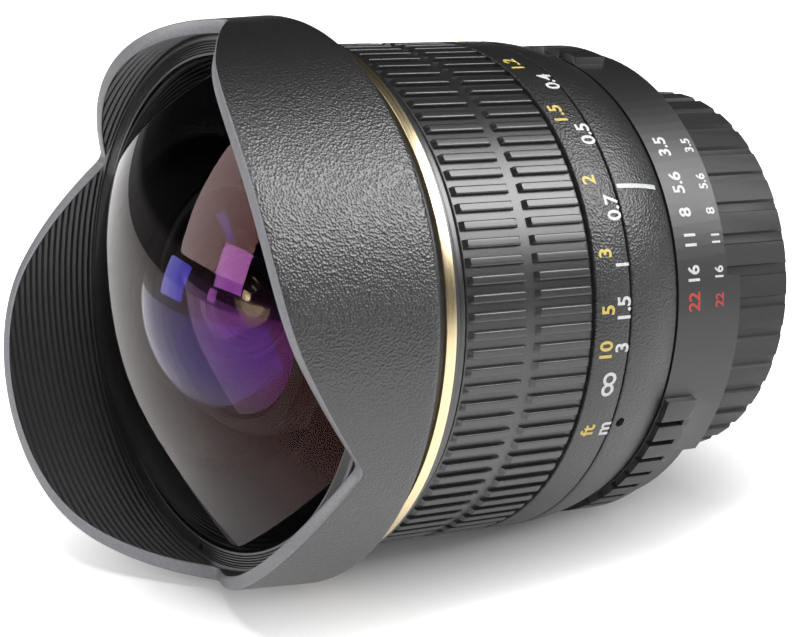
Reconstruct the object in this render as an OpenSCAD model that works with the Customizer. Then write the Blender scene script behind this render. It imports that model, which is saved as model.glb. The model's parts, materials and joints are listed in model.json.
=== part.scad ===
// Circular-dome fisheye lens with a petal hood, a focus ring, an aperture ring and a rear cap.
// The optical axis lies level along Y with the front towards -Y; the origin is the centre of the
// mount flange's face. Pieces are drawn round a local Z axis that points to the front.

/* [Lens roll] */
// Polar angle of the index line round the axis, seen from the front, lens lying on its side
index_at = 37; // [0:1:359]
// Turn of the hood's long petals past the index line
hood_turn = 1.8; // [-3:0.1:3]

/* [Outer lengths] */
// Thickness of the mount flange
flange_t = 3; // [2.6:0.1:3.4]
// Length of the aperture ring with its meter ridge
aperture_len = 10.7; // [10.2:0.1:12]
// Length of the meter-coupling ridge behind the aperture ring
ridge_len = 2.2; // [1.6:0.1:2.4]
// Length of the fixed barrel that carries the index line
index_len = 9.15; // [8.6:0.05:10]
// Length of the distance-scale band on the focus ring
scale_len = 5.65; // [5.2:0.05:6.2]
// Length of the rubber grip
grip_len = 20.1; // [19:0.1:22]
// Length of the gloss ring in front of the grip
trim_len = 1.05; // [0.8:0.05:1.5]
// Length of the gold ring
gold_len = 3; // [2.6:0.1:3.6]
// Axial running gap between neighbouring rings
ring_gap = 0.25; // [0.2:0.05:0.35]

/* [Barrel and rings] */
// Radius of the main barrel under the focus ring
barrel_r = 30.5; // [29:0.1:33]
// Wall of the main barrel in front of its shoulder
barrel_wall = 2.5; // [2.3:0.1:2.8]
// Step down of the main barrel under the aperture ring
barrel_step = 2.9; // [2.7:0.1:3.1]
// Wall of the main barrel under the aperture ring
barrel_rear_wall = 2.1; // [1.9:0.1:2.3]
// Thickness of the distance-scale band over the barrel
scale_wall = 3.1; // [2.8:0.1:3.5]
// Thickness of the index barrel at its rear edge
index_rear_wall = 1.2; // [1:0.1:1.5]
// Thickness of the aperture ring over the barrel
aperture_wall = 4.2; // [3.9:0.1:4.6]
// Thickness of the focus ring under the rubber
focus_wall = 1.2; // [1.1:0.1:1.4]
// Thickness of the rubber between its ribs
rubber_wall = 1.2; // [1:0.1:1.4]
// Thickness of the gloss ring
trim_wall = 2.7; // [2.3:0.1:3.1]
// Thickness of the gold ring at its rear edge
gold_wall = 2.8; // [2.4:0.1:3.1]
// Height of the gold ring's band over its rear part
gold_step = 1.5; // [1.1:0.1:1.9]
// Length of the gold ring's band
gold_band = 1.95; // [1.6:0.05:2.1]
// Length of the slope behind the gold ring's band
gold_slope = 0.2; // [0.1:0.05:0.3]

/* [Rubber grip] */
// Ribs round the rubber grip
grip_ribs = 90; // [60:1:110]
// Share of the pitch that a rib's top fills
rib_share = 0.44; // [0.35:0.01:0.6]
// Share of the pitch that each flank of a rib fills
rib_flank = 0.05; // [0.03:0.01:0.1]
// Height of the rubber ribs
rib_h = 0.7; // [0.5:0.1:0.9]
// Plain band between the two rows of ribs
row_gap = 1.4; // [1:0.1:2]
// Plain edge at each end of the rubber
grip_edge = 0.3; // [0.2:0.1:1]
// Turn of the rubber ribs round the axis
rib_turn = -1.8; // [-4:0.1:4]

/* [Hood] */
// Wall of the hood's rear lip outside the bezel
hood_lip_wall = 2.4; // [2.1:0.1:3]
// Taper of the hood's radius from its lip to the petals' tips
hood_taper = 1; // [0.7:0.1:1.2]
// Wall of the hood at its rim
hood_wall = 1.8; // [1.4:0.1:1.9]
// Step of the hood's inner wall outside the bezel
hood_step = 0.1; // [0.05:0.05:0.2]
// Thickness of the neck over the barrel
neck_wall = 3.7; // [3.5:0.1:4.2]
// Length of the neck
neck_len = 2.5; // [2:0.1:3]
// Thickness of the ledge that carries the front cell
ledge_t = 3.9; // [3.6:0.1:4.4]
// Reach of that ledge inside the barrel
ledge_in = 1.4; // [1.2:0.1:1.8]
// Length from the lip to a long petal's tip
long_petal = 23.4; // [21:0.1:26]
// Length from the lip to a short petal's tip
short_petal = 13.7; // [12.5:0.1:15]
// Radius of the short petal's arc, seen square on
short_arc_r = 40; // [36:1:60]
// Way across from a long petal's notch to its tip
petal_across = 16.6; // [15:0.1:18]
// Lean of the long petal's flank over the straight line from notch to tip
flank_lead = 3.9; // [3:0.1:5]
// Radius of the long petal's shoulder
petal_arc_r = 20; // [16:1:24]
// Radius at the bottom of each notch
notch_r = 1.4; // [0.8:0.1:2]
// Grooves inside the hood
hood_grooves = 15; // [6:1:16]
// Depth of the grooves inside the hood
groove_depth = 0.3; // [0.2:0.05:0.45]
// Place of a groove's root in its pitch
groove_root = 0.35; // [0.3:0.05:0.6]
// Radius of the rounded rear lip
lip_round = 0.9; // [0.5:0.1:1.2]
// Radius of the hood screws' heads
hood_head_r = 1.5; // [1.3:0.1:1.6]
// Height of the hood screws' heads
hood_head_t = 1.3; // [1:0.1:1.5]
// Length of the hood screws in the barrel
hood_screw_len = 5; // [4:0.5:6]
// Turn of the first hood screw past the index line
hood_screw_turn = 60; // [30:1:90]

/* [Front glass] */
// Reach of the front element's edge past the barrel
glass_over = 2.5; // [2.3:0.1:2.8]
// Radius of the front element's dome
dome_r = 49; // [45:0.5:54]
// Height of the front element's edge over its seat
glass_edge = 4.42; // [4.2:0.01:4.8]
// Thickness of the front element on the axis
front_centre_t = 3.2; // [2.8:0.1:3.6]
// Clearance of the front element's hollow round the collar
hollow_clear = 0.65; // [0.5:0.05:0.9]
// Thickness of the shelf under the front element
shelf_t = 2; // [1.8:0.1:2.4]
// Height of the cup round the front element
cup_h = 3.5; // [3.2:0.1:3.7]
// Wall of the cup round the front element
cup_wall = 0.85; // [0.7:0.05:0.95]
// Thickness of the grooved bezel round the dome
bezel_t = 1.8; // [1.6:0.1:2]
// Lap of the bezel over the front element's edge
bezel_lap = 0.5; // [0.4:0.1:0.7]
// Reach of the bezel past the front element's edge
bezel_over = 2.1; // [2:0.1:2.4]
// Grooves on the bezel's face
bezel_grooves = 5; // [3:1:6]
// Width of the bezel's raised lip
bezel_lip = 0.6; // [0.4:0.1:0.8]
// Height of the bezel's raised lip
bezel_lip_h = 0.3; // [0.2:0.1:0.5]
// Share of its pitch that a bezel groove fills
bezel_groove_w = 0.6; // [0.4:0.05:0.8]
// Radius of the two spanner holes in the bezel
spanner_r = 0.45; // [0.3:0.05:0.6]
// Depth of the spanner holes
spanner_depth = 0.8; // [0.5:0.1:1]
// Distance of the spanner holes inside the bezel's lip
spanner_set = 0.7; // [0.6:0.1:1]
// Turn of the first spanner hole past the index line
spanner_turn = 232; // [0:1:359]

/* [Front group] */
// Edge radius of the second element
second_r = 19; // [18.6:0.1:19.4]
// Depth of the second element's seat under the glass seat
second_drop = 5; // [4.6:0.1:5.4]
// Height of the second element's apex over its seat
second_rise = 9.5; // [9.2:0.1:9.8]
// Radius of the second element's front
second_front_r = 40; // [38:0.5:44]
// Radius of the second element's hollow back
second_hollow_r = 13; // [12.5:0.1:13.4]
// Thickness of the second element on the axis
second_centre_t = 2.3; // [2:0.1:2.6]
// Wall of the front cell round the second element
second_wall = 2.35; // [2.1:0.05:2.6]
// Wall of the collar above the glass seat
collar_wall = 0.85; // [0.7:0.05:1]
// Height of the collar above the glass seat
collar_h = 0.8; // [0.6:0.1:1]
// Thickness of the front cell's floor under the second element
cell_floor = 3.9; // [3.4:0.1:4.2]
// Step of that floor's bore outside the doublet
cell_step = 0.8; // [0.6:0.1:1]
// Width of the second element's retaining ring
retainer_w = 1.6; // [1.2:0.1:2]
// Height of the second element's retaining ring
retainer_h = 0.9; // [0.7:0.1:1.2]
// Edge radius of the front doublet
doublet_r = 11; // [10.6:0.1:11.4]
// Height of the doublet's seat over the guide flange's seat
doublet_seat = 11; // [10.6:0.1:11.5]
// Thickness of the front doublet on the axis
doublet_t = 10; // [9.6:0.1:10.2]
// Height of the cemented face over the doublet's seat
doublet_split = 6; // [5.8:0.1:6.4]
// Radius of the doublet's front
doublet_front_r = 25; // [24:0.5:28]
// Radius of the doublet's cemented face
doublet_cement_r = 16; // [15.5:0.1:17]
// Wall of the front cell round the doublet
doublet_wall = 2.45; // [2.2:0.05:2.7]
// Width and thickness of the lip that carries the doublet
doublet_lip = 1.4; // [1.2:0.1:1.6]
// Width of the doublet's retaining ring
doublet_ring_w = 2; // [1.6:0.1:2.4]
// Height of the doublet's retaining ring
doublet_ring_h = 1.6; // [1.2:0.1:1.6]

/* [Rear group] */
// Edge radius of the rear elements
rear_lens_r = 10; // [9.6:0.1:10.4]
// Wall of the rear cell
rear_cell_wall = 3.9; // [3.6:0.1:4.1]
// Distance of the rear cell's back from the flange face at rest
rear_cell_z = 1.2; // [1.1:0.1:1.5]
// Room between the rear cell and the guide flange's seat at rest
rear_clear = 0.5; // [0.4:0.1:0.7]
// Clear radius of the rear cell's front lip
rear_lip_bore = 7.5; // [7:0.1:8]
// Thickness of the rear cell's front lip
rear_lip_t = 1; // [0.8:0.1:1.2]
// Depth of the rear retainer
rear_retainer_t = 1.4; // [1.2:0.1:1.6]
// Width of the rear retainer
rear_retainer_w = 1.6; // [1.3:0.1:2]
// Width of the spacers between the rear elements
spacer_w = 1.3; // [1.1:0.1:1.6]
// Radius of the fifth element's front
fifth_front_r = 20; // [19:0.5:22]
// Radius of the cemented face behind the fifth element
fifth_cement_r = 40; // [36:1:44]
// Thickness of the fifth element on the axis
fifth_t = 5.4; // [5.2:0.1:5.6]
// Thickness of the sixth element on the axis
sixth_t = 1.2; // [1:0.1:1.4]
// Air between the sixth and seventh elements on the axis
seventh_gap = 0.3; // [0.2:0.1:0.5]
// Radius of the seventh element's front
seventh_front_r = 30; // [28:1:34]
// Thickness of the seventh element on the axis
seventh_t = 2.7; // [2.5:0.1:2.9]
// Radius of the cemented face behind the seventh element
eighth_cement_r = 24; // [22:0.5:28]
// Thickness of the eighth element on the axis
eighth_t = 2.9; // [2.7:0.1:3.1]
// Air between the eighth and ninth elements on the axis
ninth_gap = 0.4; // [0.3:0.1:0.6]
// Radius of the ninth element's front
ninth_front_r = 26; // [24:0.5:28]
// Thickness of the ninth element on the axis
ninth_t = 4; // [3.9:0.1:4.2]
// Radius of the ninth element's back
ninth_back_r = 40; // [38:1:44]
// Air between the ninth and tenth elements on the axis
tenth_gap = 0.1; // [0.1:0.1:0.3]
// Radius of the tenth element's hollow front
tenth_front_r = 24; // [22:0.5:28]
// Flat rim of the tenth element inside its spacer
tenth_rim_w = 0.5; // [0.3:0.1:0.8]
// Radius of the cam follower pins
follower_r = 1; // [0.9:0.05:1.2]
// Depth of wall that each follower's seat leaves in the rear cell
follower_seat = 1; // [0.8:0.1:1.4]
// Height of the followers over the flange face at rest
follower_z = 12; // [11:0.5:14]
// Turn of the first follower past the index line
follower_turn = 90; // [60:1:120]
// Axial travel of the rear group over the whole focus throw
focus_travel = 2.2; // [1.6:0.1:2.4]
// Focus throw from rest to the infinity mark
throw_far = 44.75; // [40:0.25:50]
// Focus throw from rest to the nearest mark
throw_near = 62.65; // [56:0.25:66]

/* [Guide and cam] */
// Wall of the guide tube
guide_wall = 2; // [1.8:0.1:2.1]
// Wall of the cam sleeve
sleeve_wall = 1.9; // [1.7:0.1:2.1]
// Thickness of the guide flange
guide_flange_t = 2; // [1.8:0.1:2.4]
// Room between the mount flange and the cam sleeve
sleeve_rear_gap = 2; // [1.8:0.1:2.4]
// Room between the cam sleeve and the guide flange
sleeve_front_gap = 0.4; // [0.3:0.1:0.6]
// Steps that make up each cam slot's slope
cam_steps = 12; // [8:1:20]
// Width of the focus key
key_w = 6; // [5:0.5:7]
// Thickness of the focus key
key_t = 3; // [2.6:0.1:3.2]
// Height of the focus key over the focus ring's rear face
key_set = 0.6; // [0.5:0.1:0.8]
// Room between the focus key and the guide flange's seat
key_clear = 0.8; // [0.6:0.1:1.2]
// Reach of the focus key past the barrel
key_reach = 1.8; // [1.5:0.1:2]
// Turn of the focus key before the index line
key_before = 60; // [50:1:70]
// Thickness of the sleeve clip
clip_t = 0.7; // [0.6:0.1:0.9]
// Depth of the sleeve clip's groove
clip_depth = 0.5; // [0.4:0.1:0.7]
// Room between the sleeve clip and the cam sleeve
clip_gap = 0.1; // [0.1:0.05:0.2]
// Angle that the open sleeve clip spans
clip_span = 320; // [300:5:340]

/* [Iris] */
// Blades of the iris
blade_count = 6; // [6]
// Radius of the opening that the blades' inner arcs form when square on the axis
blade_inner_r = 4.5; // [4.2:0.1:4.8]
// Outer radius of a blade's arc
blade_outer_r = 9.3; // [8.8:0.1:9.5]
// Angle at which a blade's arc starts, from its pivot
blade_from = -10; // [-14:1:-6]
// Angle at which a blade's arc ends, from its pivot
blade_to = 150; // [140:1:156]
// Radius at which the blades pivot
pivot_r = 12; // [11.8:0.1:12.3]
// Lap of a blade's ear over its arc
ear_lap = 0.5; // [0.4:0.1:0.8]
// Reach of a blade's ear past its pivot
ear_out = 1.4; // [1.2:0.1:1.6]
// Angle of the ear past the pivot
ear_front = 6; // [5:1:8]
// Angle of the ear past the cam pin
ear_back = 5; // [4:1:7]
// Thickness of a blade
blade_t = 0.15; // [0.1:0.05:0.2]
// Height from one blade's layer to the next
blade_pitch = 0.3; // [0.3:0.05:0.4]
// Room between the iris base and the first blade
blade_clear = 0.2; // [0.15:0.05:0.3]
// Radius of the pivot pins
pivot_pin_r = 0.6; // [0.5:0.05:0.65]
// Radius of the cam pins
cam_pin_r = 0.5; // [0.4:0.05:0.55]
// Angle from a blade's pivot back to its cam pin
cam_pin_back = 22; // [20:0.5:24]
// Distance of the cam pins outside the pivots
cam_pin_out = 0.2; // [0.1:0.05:0.3]
// Swing of a blade from square on at the widest stop
swing_open = 1.43; // [1.2:0.01:1.8]
// Swing of a blade for each degree of the aperture ring
swing_ratio = 0.433; // [0.4:0.001:0.44]
// Aperture ring's turn from rest to the widest stop
turn_open = 11.3; // [10:0.1:12]
// Aperture ring's turn from rest to the smallest stop
turn_closed = 27.9; // [26:0.1:29]
// Thickness of the iris base
iris_base_t = 1.6; // [1.4:0.1:1.8]
// Room between the blades' widest opening and the iris base's bore
iris_bore_over = 0.7; // [0.6:0.1:0.9]
// Thickness of the iris cover
cover_t = 0.8; // [0.6:0.1:1]
// Thickness of the actuator ring
actuator_t = 1; // [0.8:0.1:1.2]
// Radius of the actuator ring
actuator_r = 16.84; // [16.6:0.02:17]
// Bore radius of the actuator ring
actuator_in_r = 11; // [10.8:0.1:11.1]
// Wall of the iris base's rim
iris_rim = 2.4; // [2.2:0.1:2.6]
// Width of the actuator's arm
arm_w = 5; // [4:0.5:6]
// Set-back of the actuator's arms from the faces they join
arm_inset = 0.15; // [0.1:0.05:0.2]
// Room between the actuator's long bar and the barrel
bar_gap = 1; // [0.8:0.1:1.2]
// Thickness of the actuator's long bar
bar_t = 2; // [1.8:0.1:2.2]
// Turn of the actuator's bar past the index line
bar_turn = 130; // [125:1:135]
// Room between the mount flange and the foot of the bar
bar_foot_gap = 0.5; // [0.4:0.1:0.7]
// Thickness of the stop-down lever's arm
lever_t = 1.2; // [1:0.1:1.3]
// Room between the guide tube and the stop-down lever
lever_gap = 0.79; // [0.7:0.01:0.9]
// Thickness of the stop-down lever
lever_w = 1.6; // [1.4:0.1:1.8]
// Reach of the stop-down lever behind the flange face
lever_reach = 4.2; // [3.8:0.1:4.4]
// Radius of the drive pin between aperture ring and bar
drive_pin_r = 1; // [0.8:0.05:1.1]
// Height of the drive pin over the flange face
drive_pin_z = 6.7; // [6.5:0.1:7]
// Metal that covers the drive pin's end in the aperture ring
drive_pin_cover = 0.5; // [0.4:0.1:0.8]
// Radius of the iris screws
iris_screw_r = 0.5; // [0.4:0.05:0.6]
// Bite of the iris screws in the guide flange
iris_screw_bite = 1.4; // [1.2:0.1:1.6]
// Height of the iris screws' heads
iris_head_t = 0.6; // [0.5:0.1:0.8]

/* [Aperture ring] */
// Turn of the meter ridge's far end before the index line
ridge_far = 71; // [66:0.1:76]
// Turn of the meter ridge's near end before the index line
ridge_near = 22.3; // [18:0.1:26]
// Height of the finger grips over the ring
grip_h = 1; // [0.8:0.1:1.2]
// Length of the finger grips along the axis
grip_axial = 5; // [4.5:0.1:5.4]
// Set-back of the finger grips from the ring's front face
grip_set = 0.2; // [0.1:0.05:0.3]
// Angle that each finger grip spans
grip_span = 54.4; // [54:0.1:58]
// Turn of the first finger grip's end before the index line
grip_before = 52.4; // [48:0.1:56]
// Turn of the second finger grip's start past the index line
grip_after = 45.6; // [42:0.1:50]
// Slots in each finger grip
grip_slots = 8; // [6:1:8]
// Angle from one slot to the next
slot_pitch = 6; // [5.5:0.1:6]
// Width of the slots
slot_w = 0.9; // [0.7:0.1:1.2]
// Depth of the slots under the grips' foot
slot_sink = 0.1; // [0.05:0.05:0.2]
// Closed stretch at the rear end of the slots
slot_floor = 1; // [0.8:0.1:1.4]
// Angle from one click stop to the next
stop_step = 7.4; // [7.2:0.1:7.6]
// Radius of the click pits
click_r = 0.5; // [0.4:0.05:0.6]
// Depth of the click pits
click_depth = 0.3; // [0.2:0.05:0.4]
// Radius of the detent ball
detent_r = 0.75; // [0.7:0.05:0.8]
// Distance of the detent outside the barrel's rear stretch
detent_set = 1.4; // [1.3:0.1:1.5]
// Turn of the detent past the index line
detent_turn = 200; // [190:1:210]
// Depth of the groove that the detent ball runs in
detent_relief = 0.6; // [0.5:0.05:0.7]
// Room round the detent ball in its groove
detent_clear = 0.1; // [0.1:0.05:0.2]
// Depth of the detent's pocket in the barrel
detent_depth = 5; // [4.5:0.5:6]
// Height of the detent ball over the groove's floor
detent_lift = 0.15; // [0.1:0.05:0.2]
// Bore radius of the detent spring
spring_bore = 0.3; // [0.2:0.05:0.4]
// Lap of the detent spring over the ball
spring_lap = 0.05; // [0:0.01:0.05]

/* [Mount] */
// Reach of the mount flange past the barrel's rear stretch
flange_lip = 0.8; // [0.6:0.1:0.9]
// Radius of the bayonet's spigot
spigot_r = 21.95; // [21.8:0.05:22.1]
// Bore radius of the spigot
spigot_bore = 20.6; // [20.4:0.1:20.8]
// Length of the spigot behind the flange
spigot_len = 4.5; // [4.2:0.1:4.8]
// Reach of the bayonet lugs past the spigot
lug_h = 1.55; // [1.4:0.05:1.7]
// Thickness of the bayonet lugs
lug_t = 1.4; // [1.2:0.1:1.6]
// Angle that each lug spans
lug_span = 56; // [50:1:60]
// Set-back of the lugs from the spigot's rear end
lug_set = 0.15; // [0.1:0.05:0.2]
// Lap of the lugs and the baffle's ledge into the spigot's wall
lug_lap = 0.2; // [0.1:0.05:0.4]
// Distance of the mount screws outside the barrel's rear bore
mount_screw_set = 1; // [0.9:0.05:1.1]
// Screws that hold the mount
mount_screw_count = 5; // [4:1:5]
// Length of the mount screws in the barrel
mount_screw_len = 7; // [6:0.5:7.5]
// Radius of the mount screws' heads
mount_head_r = 1.3; // [1.2:0.1:1.4]
// Height of the mount screws' heads
mount_head_t = 1.1; // [1:0.1:1.3]
// Depth of the mount screws' heads under the flange's face
mount_head_sink = 0.15; // [0.1:0.05:0.2]
// Radius of the lock notch in the flange
lock_notch_r = 1; // [0.8:0.1:1.2]
// Depth of the lock notch
lock_notch_depth = 1.6; // [1.2:0.1:2]
// Turn of the lock notch past the index line
lock_notch_turn = 90; // [80:1:100]
// Thickness of the rear baffle
baffle_t = 1; // [0.8:0.1:1.2]
// Height of the baffle's front face over the flange face
baffle_z = -0.5; // [-0.6:0.1:-0.3]
// Room between the rear cell and the baffle's opening
baffle_gap = 0.55; // [0.4:0.05:0.7]
// Width of the ledge that carries the baffle
ledge_w = 1.4; // [1.3:0.1:1.6]
// Height of the ledge that carries the baffle
ledge_h = 1.2; // [1:0.1:1.4]
// Distance of the baffle screws inside the spigot's bore
baffle_screw_set = 0.7; // [0.65:0.05:0.75]
// Radius of the baffle screws
baffle_screw_r = 0.4; // [0.35:0.05:0.45]
// Radius of the baffle screws' heads
baffle_head_r = 0.64; // [0.55:0.01:0.68]
// Height of the baffle screws' heads
baffle_head_t = 0.5; // [0.4:0.1:0.7]
// Bite of the baffle screws in their ledge
baffle_screw_bite = 0.9; // [0.7:0.1:0.9]

/* [Fasteners] */
// Radius of the barrel's screws
screw_r = 0.6; // [0.5:0.05:0.65]
// Radius of the set screws
set_screw_r = 0.65; // [0.55:0.05:0.75]
// Bite of the set screws in the barrel
set_screw_bite = 0.9; // [0.7:0.1:1]
// Length of the set screws
set_screw_len = 3; // [2.4:0.1:3.2]
// Turn of the first set screw before the index line
set_screw_before = 55.2; // [50:0.1:60]
// Distance of the set screws from the index barrel's front edge
set_screw_edge = 1.3; // [1.1:0.1:1.6]
// Length of the guide screws in the barrel
guide_screw_len = 4; // [3:0.5:5]
// Radius of the guide screws' heads
guide_head_r = 1; // [0.9:0.05:1.1]
// Height of the guide screws' heads
guide_head_t = 0.9; // [0.7:0.1:1]
// Turn of the first guide screw past the focus key
guide_screw_turn = 72; // [68:1:76]
// Angle from one guide screw to the next
guide_screw_step = 105; // [102:1:108]
// Radius of the key screws
key_screw_r = 0.45; // [0.4:0.05:0.5]
// Distance of the key screws inside the key's sides
key_screw_in = 1.3; // [1.1:0.1:1.5]
// Radius of the key screws' heads
key_head_r = 0.765; // [0.7:0.005:0.8]
// Height of the key screws' heads
key_head_t = 0.45; // [0.35:0.05:0.5]
// Bite of the key screws in the focus ring
key_screw_bite = 1.7; // [1.4:0.1:1.8]

/* [Rear cap] */
// Clearance of the cap's bore round the bayonet lugs
cap_bore_gap = 0.7; // [0.6:0.1:0.9]
// Wall of the cap between its ribs
cap_wall = 1.1; // [0.9:0.1:1.6]
// Thickness of the cap's back
cap_back = 1.6; // [1.4:0.1:2.2]
// Length of the cap
cap_len = 13.9; // [13.5:0.1:16]
// Ribs round the cap
cap_ribs = 36; // [24:1:44]
// Height of the cap's ribs
cap_rib_h = 0.5; // [0.4:0.1:0.7]
// Share of the pitch that a cap rib's top fills
cap_rib_share = 0.64; // [0.35:0.01:0.75]
// Radius of the rounding at the cap's rear edge
cap_round = 1.5; // [1:0.1:3]
// Overhang of that rounding past the ribs
cap_round_over = 0.4; // [0.3:0.1:0.6]
// Gap between the cap and the mount flange
cap_gap = 0.2; // [0.1:0.05:0.3]
// Angle that each of the cap's bayonet tabs spans
cap_tab_span = 36; // [30:1:42]
// Set-back of the cap's bayonet tabs from its rim
cap_tab_set = 0.8; // [0.6:0.1:1]
// Lap of the tabs into the cap's wall
cap_lap = 0.5; // [0.4:0.1:0.8]

/* [Fits] */
// Radial gap of a fixed fit
fit_gap = 0.05; // [0.02:0.01:0.06]
// Radial gap of a running fit
run_gap = 0.06; // [0.03:0.01:0.08]
// Gap between parts that only pass each other
pass_gap = 0.3; // [0.25:0.05:0.4]
// Gap at a cemented or seated curved face
seat_gap = 0.02; // [0.02:0.01:0.05]

/* [Hidden] */
$fn = 96;
lens_fn = 360;
// A third of a turn, for pieces that come in threes
third_turn = 120;
// How far a cut runs past the face that it opens
over = 1;
// How far one form of a piece runs into the next
lap = 1;

// Radii of the barrel and of the rings on it
barrel_rear_r = barrel_r - barrel_step;
barrel_rear_bore = barrel_rear_r - barrel_rear_wall;
barrel_front_bore = barrel_r - barrel_wall;
scale_r = barrel_r + scale_wall;
index_rear_r = barrel_r + index_rear_wall;
aperture_r = barrel_rear_r + aperture_wall;
focus_core_r = barrel_r + focus_wall;
grip_base_r = focus_core_r + rubber_wall;
grip_top_r = grip_base_r + rib_h;
trim_r = barrel_r + trim_wall;
gold_rear_r = barrel_r + gold_wall;
gold_front_r = gold_rear_r + gold_step;
flange_r = barrel_rear_r + flange_lip;

// Radii of the front glass, its bezel and the hood
glass_r = barrel_r + glass_over;
bezel_bore = glass_r - bezel_lap;
bezel_r = glass_r + bezel_over;
hood_r = bezel_r + hood_lip_wall;
hood_tip_r = hood_r - hood_taper;
neck_r = barrel_r + neck_wall;
ledge_bore = barrel_front_bore - ledge_in;

// Heights over the flange face, from the rear to the front
z_aperture0 = ring_gap;
z_aperture1 = z_aperture0 + aperture_len;
z_index0 = z_aperture1 + ring_gap;
z_index1 = z_index0 + index_len;
z_focus0 = z_index1 + ring_gap;
z_scale1 = z_focus0 + scale_len;
z_grip1 = z_scale1 + grip_len;
z_trim0 = z_grip1 + ring_gap;
z_gold0 = z_trim0 + trim_len;
z_hood0 = z_gold0 + gold_len;
z_lip = z_hood0 + neck_len;
z_shelf = z_hood0 + ledge_t;
z_glass = z_shelf + shelf_t;
z_bezel = z_glass + cup_h;
z_face = z_bezel + bezel_t;
z_tip = z_lip + long_petal;

// Focus key, and the guide flange's seat in front of it
key_at = index_at - key_before;
key_z0 = z_focus0 + key_set;
key_z1 = key_z0 + key_t;
key_out_r = barrel_r + key_reach;
guide_seat = key_z1 + key_clear;

// Front optics
dome_top = z_glass + glass_edge + sag(dome_r, glass_r);
front_hollow_top = dome_top - front_centre_t;
front_hollow_h = front_hollow_top - z_glass;
front_hollow_edge = second_r + collar_wall + hollow_clear;
front_hollow_r = (pow(front_hollow_edge, 2) + pow(front_hollow_h, 2)) / (2 * front_hollow_h);
cup_bore = glass_r + fit_gap;
cup_r = cup_bore + cup_wall;
z_second = z_glass - second_drop;
second_top = z_second + second_rise;
second_hollow_top = second_top - second_centre_t;
z_doublet = guide_seat + doublet_seat;
doublet_top = z_doublet + doublet_t;
doublet_mid = z_doublet + doublet_split;

// Guide tube and cam sleeve
rear_bore = rear_lens_r + fit_gap;
rear_cell_r = rear_bore + rear_cell_wall;
guide_bore = rear_cell_r + run_gap;
guide_r = guide_bore + guide_wall;
sleeve_bore = guide_r + run_gap;
sleeve_r = sleeve_bore + sleeve_wall;
sleeve_z0 = flange_t + sleeve_rear_gap;
sleeve_z1 = guide_seat - sleeve_front_gap;
follower_at = index_at + follower_turn;
mm_per_deg = focus_travel / (throw_far + throw_near);

// Iris layers
z_iris = guide_seat + guide_flange_t;
z_layers = z_iris + iris_base_t + blade_clear;
z_actuator = z_layers + (blade_count - 1) * blade_pitch + blade_t + pass_gap;
z_cover = z_actuator + actuator_t + pass_gap;
iris_rim_bore = actuator_r + run_gap;
iris_rim_r = iris_rim_bore + iris_rim;
iris_bore = blade_inner_r + iris_bore_over;
swing_rest = swing_open + swing_ratio * turn_open;
bar_out_r = barrel_rear_bore - bar_gap;
bar_in_r = bar_out_r - bar_t;
bar_at = index_at + bar_turn;
bar_mid = bar_at + (turn_closed - turn_open) / 2;
bar_foot = flange_t + bar_foot_gap;
lever_in_r = guide_r + lever_gap;

// Rear optics, counted from the rear cell's front lip backwards
z_rear_lip = guide_seat - rear_clear - rear_lip_t;
spacer_in = rear_lens_r - spacer_w;
fifth_top = z_rear_lip + sag(fifth_front_r, rear_lip_bore) - seat_gap;
fifth_cement = fifth_top - fifth_t;
sixth_back = fifth_cement - sixth_t;
seventh_top = sixth_back - seventh_gap;
eighth_cement = seventh_top - seventh_t;
eighth_back = eighth_cement - eighth_t;
ninth_top = eighth_back - ninth_gap;
ninth_back = ninth_top - ninth_t;
tenth_rim = ninth_back - tenth_gap;
z_tenth = rear_cell_z + rear_retainer_t;

// Mount, fasteners and cap
mount_screw_pcr = barrel_rear_bore + mount_screw_set;
baffle_in_r = rear_cell_r + baffle_gap;
baffle_pcr = spigot_bore - baffle_screw_set;
ledge_in_r = spigot_bore - ledge_w;
lug_r = spigot_r + lug_h;
z_lug = lug_set - spigot_len;
detent_pcr = barrel_rear_r + detent_set;
detent_at = index_at + detent_turn;
set_screw_at = index_at - set_screw_before;
set_screw_z = z_index1 - set_screw_edge;
cap_bore = lug_r + cap_bore_gap;
cap_r = cap_bore + cap_wall;
cap_rib_r = cap_r + cap_rib_h;

// Depth of a spherical face of radius ball at distance r from its axis
function sag(ball, r) = ball - sqrt(ball * ball - r * r);
// A point at radius r and polar angle a
function polar(r, a) = [r * cos(a), r * sin(a)];
// A point turned by angle a round the origin
function turned(p, a) = [p[0] * cos(a) - p[1] * sin(a), p[0] * sin(a) + p[1] * cos(a)];
// Cam pin of a blade with its pivot at polar angle 0, swung by angle s from square on
function cam_pin(s) =
  polar(pivot_r, 0) + turned(polar(pivot_r + cam_pin_out, -cam_pin_back) - polar(pivot_r, 0), s);
// That pin seen from the actuator, which has turned by angle t from rest
function cam_track(t) = turned(cam_pin(swing_rest + swing_ratio * t), -t);

// Stands a piece drawn round local Z on the level axis, front towards -Y
module place() {
  rotate([90, 0, 0]) children();
}

// Cross-section of a ring
module ring(r0, r1, z0, z1) {
  translate([r0, z0]) square([r1 - r0, z1 - z0]);
}

module tube(r0, r1, z0, z1) {
  rotate_extrude() ring(r0, r1, z0, z1);
}

module sector(r0, r1, z0, z1, a0, a1) {
  rotate([0, 0, a0]) rotate_extrude(angle = a1 - a0) ring(r0, r1, z0, z1);
}

// Rod along the local axis at polar angle a
module rod(r, z0, z1, at_r, a) {
  rotate([0, 0, a]) translate([at_r, 0, z0]) cylinder(r = r, h = z1 - z0);
}

// Rod that points away from the axis at polar angle a
module spoke(r, r0, r1, z, a) {
  rotate([0, 0, a]) translate([r0, 0, z]) rotate([0, 90, 0]) cylinder(r = r, h = r1 - r0);
}

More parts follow.
